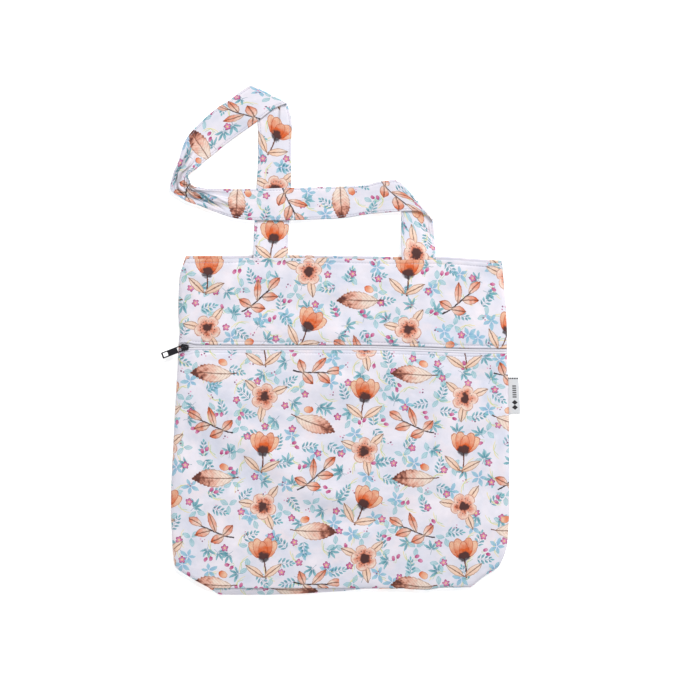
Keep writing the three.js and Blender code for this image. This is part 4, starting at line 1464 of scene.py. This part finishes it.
def paint_buds(ink, u, v, here):
    """Two pointed buds on yellow stalks."""
    for side in (-1, 1):
        stalk = (u - side * 1.1 - (v + 4.0) * (0.12 * side)).abs()
        ink.lay(stalk.below(0.25, 0.2) * (v + 3.2).abs().below(3, 0.3) * here * 0.9, INK["green"])
        d, _, b = oval(u, v, side * 2.4, 1.6 * side, 1.9, 2.8, -side * 18)
        inside = d.below(1, 0.12) * here
        ink.wet(inside, b * 0.5 + 0.4, "pink", "pale_pink")
        ink.rim(d, inside, "plum", 0.6, 0.12)


def paint_dots(ink, u, v, here):
    """One dark and two pink specks."""
    for cx, cy, radius, tone in [(0, 0, 0.9, "plum"), (2.6, 1.6, 0.7, "pink"), (-1.8, 2.4, 0.8, "pale_pink")]:
        d = oval(u, v, cx, cy, radius, radius)[0]
        ink.lay(d.below(1, 0.3) * here * 0.9, INK[tone])


SMALL_TURN, SMALL_REPEAT = 175, 7
CLEARING = (19, 13)  # half sizes of what a large motif keeps clear

# Small motifs: how far the lattice is shifted and turned, its cell, jitter and seed, and the motifs, each
# with the share of cells filled so far.
SMALL_LAYERS = [
    dict(shift=(4, 9), turn=-9, cell=(30, 27), jitter=4, seed=8,
         motifs=[(0.5, paint_pale_leaves), (0.8, paint_star_leaves), (1, paint_half_fan)]),
    dict(shift=(0, 0), turn=14, cell=(27, 24), jitter=3, seed=5,
         motifs=[(0.42, paint_sprig), (0.78, paint_half_fan), (1, paint_star_leaves)]),
    dict(shift=(14, 4), turn=14, cell=(25, 22), jitter=3.5, seed=6,
         motifs=[(0.4, paint_buds), (0.75, paint_posy), (1, paint_dots)]),
]


def cloth_vector(tree):
    source = tree.nodes.new("ShaderNodeAttribute")
    source.attribute_name = "cloth"
    return source.outputs["Vector"]


def shaken(tree, flat):
    """Flat-cloth coordinates with the wobble of hand-painted outlines."""
    wobble = tree.nodes.new("ShaderNodeTexNoise")
    tree.links.new(flat, wobble.inputs["Vector"])
    wobble.inputs["Scale"].default_value = 0.35
    wobble.inputs["Detail"].default_value = 3
    shake = tree.nodes.new("ShaderNodeVectorMath")
    shake.operation = "MULTIPLY_ADD"
    tree.links.new(wobble.outputs["Color"], shake.inputs[0])
    shake.inputs[1].default_value = (1.8, 1.8, 0)
    tree.links.new(flat, shake.inputs[2])
    return split(tree, shake.outputs[0])[:2]


def washed_ground(tree, flat):
    """The pale ground with faint blue and pink clouds."""
    clouds = colour_mix(tree, mottle(tree, flat, 0.028) * 2.4 - 0.8, INK["cloud_blue"], INK["ground"])
    patches = (mottle(tree, flat, 0.045, 3) * 4 - 2.1).high(0.0).low(1.0)
    return colour_mix(tree, patches * 0.8, clouds, INK["cloud_pink"])


def paint_strokes(ink, x, y):
    """Pale yellow and green brush strokes, under everything."""
    u, v = lattice(ink.tree, x, y, 31.0, 27.0, 4, 80, 9.0, 4)[:2]
    arc = (u - v * v * 0.035).abs()
    ink.lay(arc.below(0.4, 0.3) * v.abs().below(10, 1.0) * 0.8, INK["yellow"])
    fork = (u - v.abs() * 0.6).abs()
    ink.lay(fork.below(0.4, 0.3) * (v.abs() - 3.0).abs().below(3.2, 0.6) * 0.75, INK["green"])


def paint_small(ink, x, y, layer):
    """A lattice of small motifs; each is left out where its middle falls on a large one."""
    dx, dy = layer["shift"]
    gx, gy = turned_fields(x + dx, y + dy, layer["turn"])
    u, v, chance, middle, _ = lattice(
        ink.tree, gx, gy, *layer["cell"], layer["jitter"], SMALL_TURN, layer["seed"], SMALL_REPEAT)
    ux, uy = turned_fields(*middle, -layer["turn"])
    a, b = big_cell(ink.tree, x - ux, y - uy)[:2]
    clear = 1 - oval(a, b, 0, 0, *CLEARING)[0].below(1, 0.001)
    pick = (chance[0] * 7.31 + chance[1] * 3.77).wrap(1.0)
    low = 0
    for high, paint in layer["motifs"]:
        here = clear * (pick - (low + high) / 2).abs().below((high - low) / 2, 0.0005)
        paint(ink, u, v, here)
        low = high


def paint_large(ink, x, y):
    """Large motifs, four kinds by column and row."""
    u, v, chance, _, (i, j) = big_cell(ink.tree, x, y)
    kind = (i + j * 2).wrap(4.0)
    u = u * (chance[0] - 0.5).sign()
    for number, paint in enumerate([paint_bloom, paint_spray, paint_open_flower, paint_broad_leaf]):
        paint(ink, u, v, (kind - float(number)).abs().below(0.5, 0.01))


def print_colour(tree, flat):
    """The printed cloth: flowers, leaves, sprigs and buds in watercolour on a pale ground, darkened near
    folded edges and strap creases as painted shade.
    """
    x, y = shaken(tree, flat)
    wash = (mottle(tree, flat, 0.17, 4) - 0.5) * 1.3
    ink = Painter(tree, washed_ground(tree, flat), wash)
    paint_strokes(ink, x, y)
    for layer in SMALL_LAYERS:
        paint_small(ink, x, y, layer)
    paint_large(ink, x, y)
    # Painted shade: the print darkens by up to 0.38 within about 1.5 mm of a folded edge or a strap crease.
    painted_shade = 1 - split(tree, flat)[2].below(0.1, 1.5) * 0.38
    tone = (mottle(tree, flat, 0.09, 4) * 0.16 + 0.9) * painted_shade
    return colour_mix(tree, 1, ink.colour, combine(tree, tone, tone, tone), "MULTIPLY")


def new_material(name):
    material = bpy.data.materials.new(name)
    material.use_nodes = True
    return material, material.node_tree, material.node_tree.nodes["Principled BSDF"]


def weave_height(tree, flat, pitch):
    """Crossing threads, pitch apart, from 0 to 1."""
    x, y, _ = split(tree, flat)
    k = math.pi / pitch
    return (x * k).sin() * (y * k).sin() * 0.5 + 0.5


def bumped(tree, shader, height, strength, distance):
    bump = tree.nodes.new("ShaderNodeBump")
    bump.inputs["Strength"].default_value = strength
    bump.inputs["Distance"].default_value = distance
    tree.links.new(height.socket, bump.inputs["Height"])
    tree.links.new(bump.outputs[0], shader.inputs["Normal"])


def print_material():
    material, tree, shader = new_material("printed_cloth")
    flat = cloth_vector(tree)
    tree.links.new(print_colour(tree, flat), shader.inputs["Base Color"])
    threads = weave_height(tree, flat, 0.45)
    crumple = mottle(tree, flat, 0.22, 4)
    bumped(tree, shader, threads * 0.25 + crumple, 0.35, 0.0006)
    rough = mottle(tree, flat, 0.05) * 0.12 + 0.56
    tree.links.new(rough.socket, shader.inputs["Roughness"])
    shader.inputs["Specular IOR Level"].default_value = 0.25
    shader.inputs["Sheen Weight"].default_value = 0.08
    shader.inputs["Sheen Roughness"].default_value = 0.4
    return material


def tape_material():
    """Fine slanting ribs, with a darker line along the teeth as painted shade where the panels' edges meet
    the tape.
    """
    material, tree, shader = new_material("zip_tape")
    flat = cloth_vector(tree)
    x, y, _ = split(tree, flat)
    rib = ((x + y.abs() * 0.8) * (math.pi / 0.55)).sin() * 0.5 + 0.5
    tint = mottle(tree, flat, 0.4, 3)
    base = colour_mix(tree, tint, srgb(238, 236, 245), srgb(246, 244, 250))
    ribbed = colour_mix(tree, rib * 0.25, base, srgb(214, 212, 226))
    # Painted shade: a darker line on each tape just inside where the panels' edges lie.
    border = (y.abs() - 2.4).abs().below(0.35, 0.2)
    tree.links.new(colour_mix(tree, border, ribbed, srgb(188, 186, 202)), shader.inputs["Base Color"])
    bumped(tree, shader, rib, 0.5, 0.0003)
    shader.inputs["Roughness"].default_value = 0.55
    return material


def plain_material(name, colour, roughness, tint=0.08, metal=0.0, coat=0.0, scale=300.0):
    """One colour with slight uneven tone and fine wear."""
    material, tree, shader = new_material(name)
    place = tree.nodes.new("ShaderNodeTexCoord")
    uneven = mottle(tree, place.outputs["Object"], scale, 4)
    darker = tuple(c * (1 - tint) for c in colour)
    tree.links.new(colour_mix(tree, uneven, colour, darker), shader.inputs["Base Color"])
    tree.links.new((uneven * 0.12 + (roughness - 0.06)).socket, shader.inputs["Roughness"])
    bumped(tree, shader, uneven, 0.1, 0.0002)
    shader.inputs["Metallic"].default_value = metal
    shader.inputs["Coat Weight"].default_value = coat
    return material


def label_material():
    """Pale ribbed tape with two diamonds, a row of bars and a dashed end, in place of lettering."""
    material, tree, shader = new_material("label_cloth")
    flat = cloth_vector(tree)
    x, y, _ = split(tree, flat)
    colour = colour_mix(tree, mottle(tree, flat, 0.5, 3), srgb(226, 228, 230), srgb(214, 217, 221))
    dash = (y - LABEL_DASHES).abs().below(0.85, 0.15) * (x * (math.pi / 0.9)).sin().below(0.5, 0.25)
    colour = colour_mix(tree, dash, colour, srgb(26, 24, 27))
    for middle in LABEL_DIAMONDS:
        diamond = (x - LABEL_MIDDLE).abs() + (y - middle).abs()
        colour = colour_mix(tree, diamond.below(2.8, 0.15), colour, srgb(28, 26, 30))
    for middle in LABEL_BARS:
        bar = (x - LABEL_MIDDLE).abs().below(1.9, 0.12) * (y - middle).abs().below(0.75, 0.12)
        colour = colour_mix(tree, bar * 0.9, colour, srgb(52, 50, 55))
    tree.links.new(colour, shader.inputs["Base Color"])
    rib = (y * (math.pi / 0.4)).sin() * 0.5 + 0.5
    bumped(tree, shader, rib, 0.3, 0.0002)
    shader.inputs["Roughness"].default_value = 0.7
    shader.inputs["Sheen Weight"].default_value = 0.15
    return material


def dress(obj, material, node, body="bag"):
    obj.data.materials.append(material)
    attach(obj, body)
    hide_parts(node)
    return obj


cloth_print = print_material()
tape_weave = tape_material()
# The thread is coloured darker than the cloth as painted shade of the stitches' recesses.
thread = plain_material("thread", srgb(202, 199, 214), 0.6)
coil_plastic = plain_material("coil_plastic", srgb(226, 225, 236), 0.4)
black_metal = plain_material("black_metal", srgb(80, 78, 84), 0.18, 0.3, 1.0, 0.0, 900.0)

lower_cloth = dress(front_lower(), cloth_print, "front_lower_panel")
upper_cloth = dress(front_upper(), cloth_print, "front_upper_panel")
back_cloth = dress(back(), cloth_print, "back_panel")
facing_cloth = dress(facing(), cloth_print, "back_facing")
base_cloth = dress(base(), cloth_print, "base_panel")
strap_cloth, strap_top, strap_u, strap_turns = strap()
dress(strap_cloth, cloth_print, "strap")
tape_upper = dress(tape("tape_upper", 1), tape_weave, "zip_tape_upper")
tape_lower = dress(tape("tape_lower", -1), tape_weave, "zip_tape_lower")
dress(teeth(), coil_plastic, "zip_coil")
dress(slider(), black_metal, "zip_slider")
dress(pull(), black_metal, "zip_pull", "pull")
label_tab = dress(label(), label_material(), "side_label")


def thread_row(y):
    """x along a row of stitches, from seam to seam."""
    return np.arange(float(left_edge(y)) + THREAD_INSET, float(right_edge(y)) - THREAD_INSET, 0.8)


def thread_path(x, y, off, gathers_of, seed):
    """A row of stitches on the front, off away from an edge and its gathers."""
    height = front_top(x, y) - STITCH_DIP + pucker(x, np.full_like(x, off), **gathers_of, seed=seed)
    return np.stack([x, bent_y(x, y), height], -1)


def zip_thread(name, side, seed):
    x = thread_row(ZIP_Y + side * (ZIP_GAP / 2 + ZIP_STITCH))
    row = ZIP_Y + side * (half_opening(x) + ZIP_STITCH)
    path = thread_path(x, row, ZIP_STITCH, ZIP_PUCKER, seed + ZIP_SEED)
    path[:, 2] += zip_dip(ZIP_STITCH)
    return stitches(name, [path])


def hem_thread():
    x = thread_row(MOUTH_Y - HEM_STITCH)
    row = np.full_like(x, MOUTH_Y - HEM_STITCH)
    return stitches("hem_thread", [thread_path(x, row, HEM_STITCH, HEM_PUCKER, UPPER_SEED + END_SEED)])


def strap_thread(name, side):
    """Topstitching along the face of the strap that shows, broken where it folds."""
    column = int(np.argmin(np.abs(strap_u - side * (STRAP_WIDTH / 2 - STRAP_STITCH))))
    starts = [BARE_ROWS] + [turn + FOLD_STEPS + BARE_ROWS for turn in strap_turns]
    ends = [turn - BARE_ROWS for turn in strap_turns] + [-BARE_ROWS]
    return stitches(name, [strap_top[a:b, column] for a, b in zip(starts, ends)])


threads = {
    row.name: row for row in [
        zip_thread("zip_thread_upper", 1, UPPER_SEED),
        zip_thread("zip_thread_lower", -1, LOWER_SEED),
        hem_thread(),
        strap_thread("strap_thread_left", -1),
        strap_thread("strap_thread_right", 1),
    ]
}
for row in threads.values():
    row.data.materials.append(thread)
    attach(row, "bag")

# Floor, light and camera, in metres and watts
FLOOR_HALF = 4
FLOOR_DROP = 0.0003
LIGHT_AIM = (0, 0.05, 0)
SKY = (0.97, 0.98, 1, 1)
SKY_STRENGTH = 0.37
CAMERA_CENTRE = Vector((0.011, 0.0815, 0))
CAMERA_HEIGHT = 2.6
VIEW_WIDTH = 0.77
SENSOR_WIDTH = 36


def floor():
    """A plain pale floor that glows a little, as a white sweep does."""
    mesh = bpy.data.meshes.new("floor")
    corners = [(-1, -1), (1, -1), (1, 1), (-1, 1)]
    mesh.from_pydata([(x * FLOOR_HALF, y * FLOOR_HALF, -FLOOR_DROP) for x, y in corners], [], [(0, 1, 2, 3)])
    material, _, shader = new_material("floor")
    shader.inputs["Base Color"].default_value = (0.93, 0.93, 0.93, 1)
    shader.inputs["Roughness"].default_value = 0.9
    shader.inputs["Specular IOR Level"].default_value = 0.1
    shader.inputs["Emission Color"].default_value = (1, 1, 1, 1)
    shader.inputs["Emission Strength"].default_value = 0.45
    mesh.materials.append(material)
    return linked("floor", mesh)


def area_light(name, place, size, power):
    data = bpy.data.lights.new(name, "AREA")
    data.shape = "SQUARE"
    data.size = size
    data.energy = power
    obj = linked(name, data)
    obj.location = place
    obj.rotation_euler = (Vector(LIGHT_AIM) - Vector(place)).to_track_quat("-Z", "Y").to_euler()
    return obj


def world():
    scene_world = bpy.data.worlds.new("studio")
    scene_world.use_nodes = True
    background = scene_world.node_tree.nodes["Background"]
    background.inputs[0].default_value = SKY
    background.inputs[1].default_value = SKY_STRENGTH
    bpy.context.scene.world = scene_world


def camera():
    """Straight above; VIEW_WIDTH fills the frame."""
    data = bpy.data.cameras.new("camera")
    data.sensor_width = SENSOR_WIDTH
    data.lens = SENSOR_WIDTH * CAMERA_HEIGHT / VIEW_WIDTH
    obj = linked("camera", data)
    obj.location = CAMERA_CENTRE + Vector((0, 0, CAMERA_HEIGHT))
    bpy.context.scene.camera = obj


floor()
area_light("key", place=(1.7, 3.3, 2.7), size=1.6, power=172)
area_light("fill", place=(-2.2, -1.6, 3.2), size=2.4, power=39)
world()
camera()
bpy.context.scene.view_settings.view_transform = "Standard"
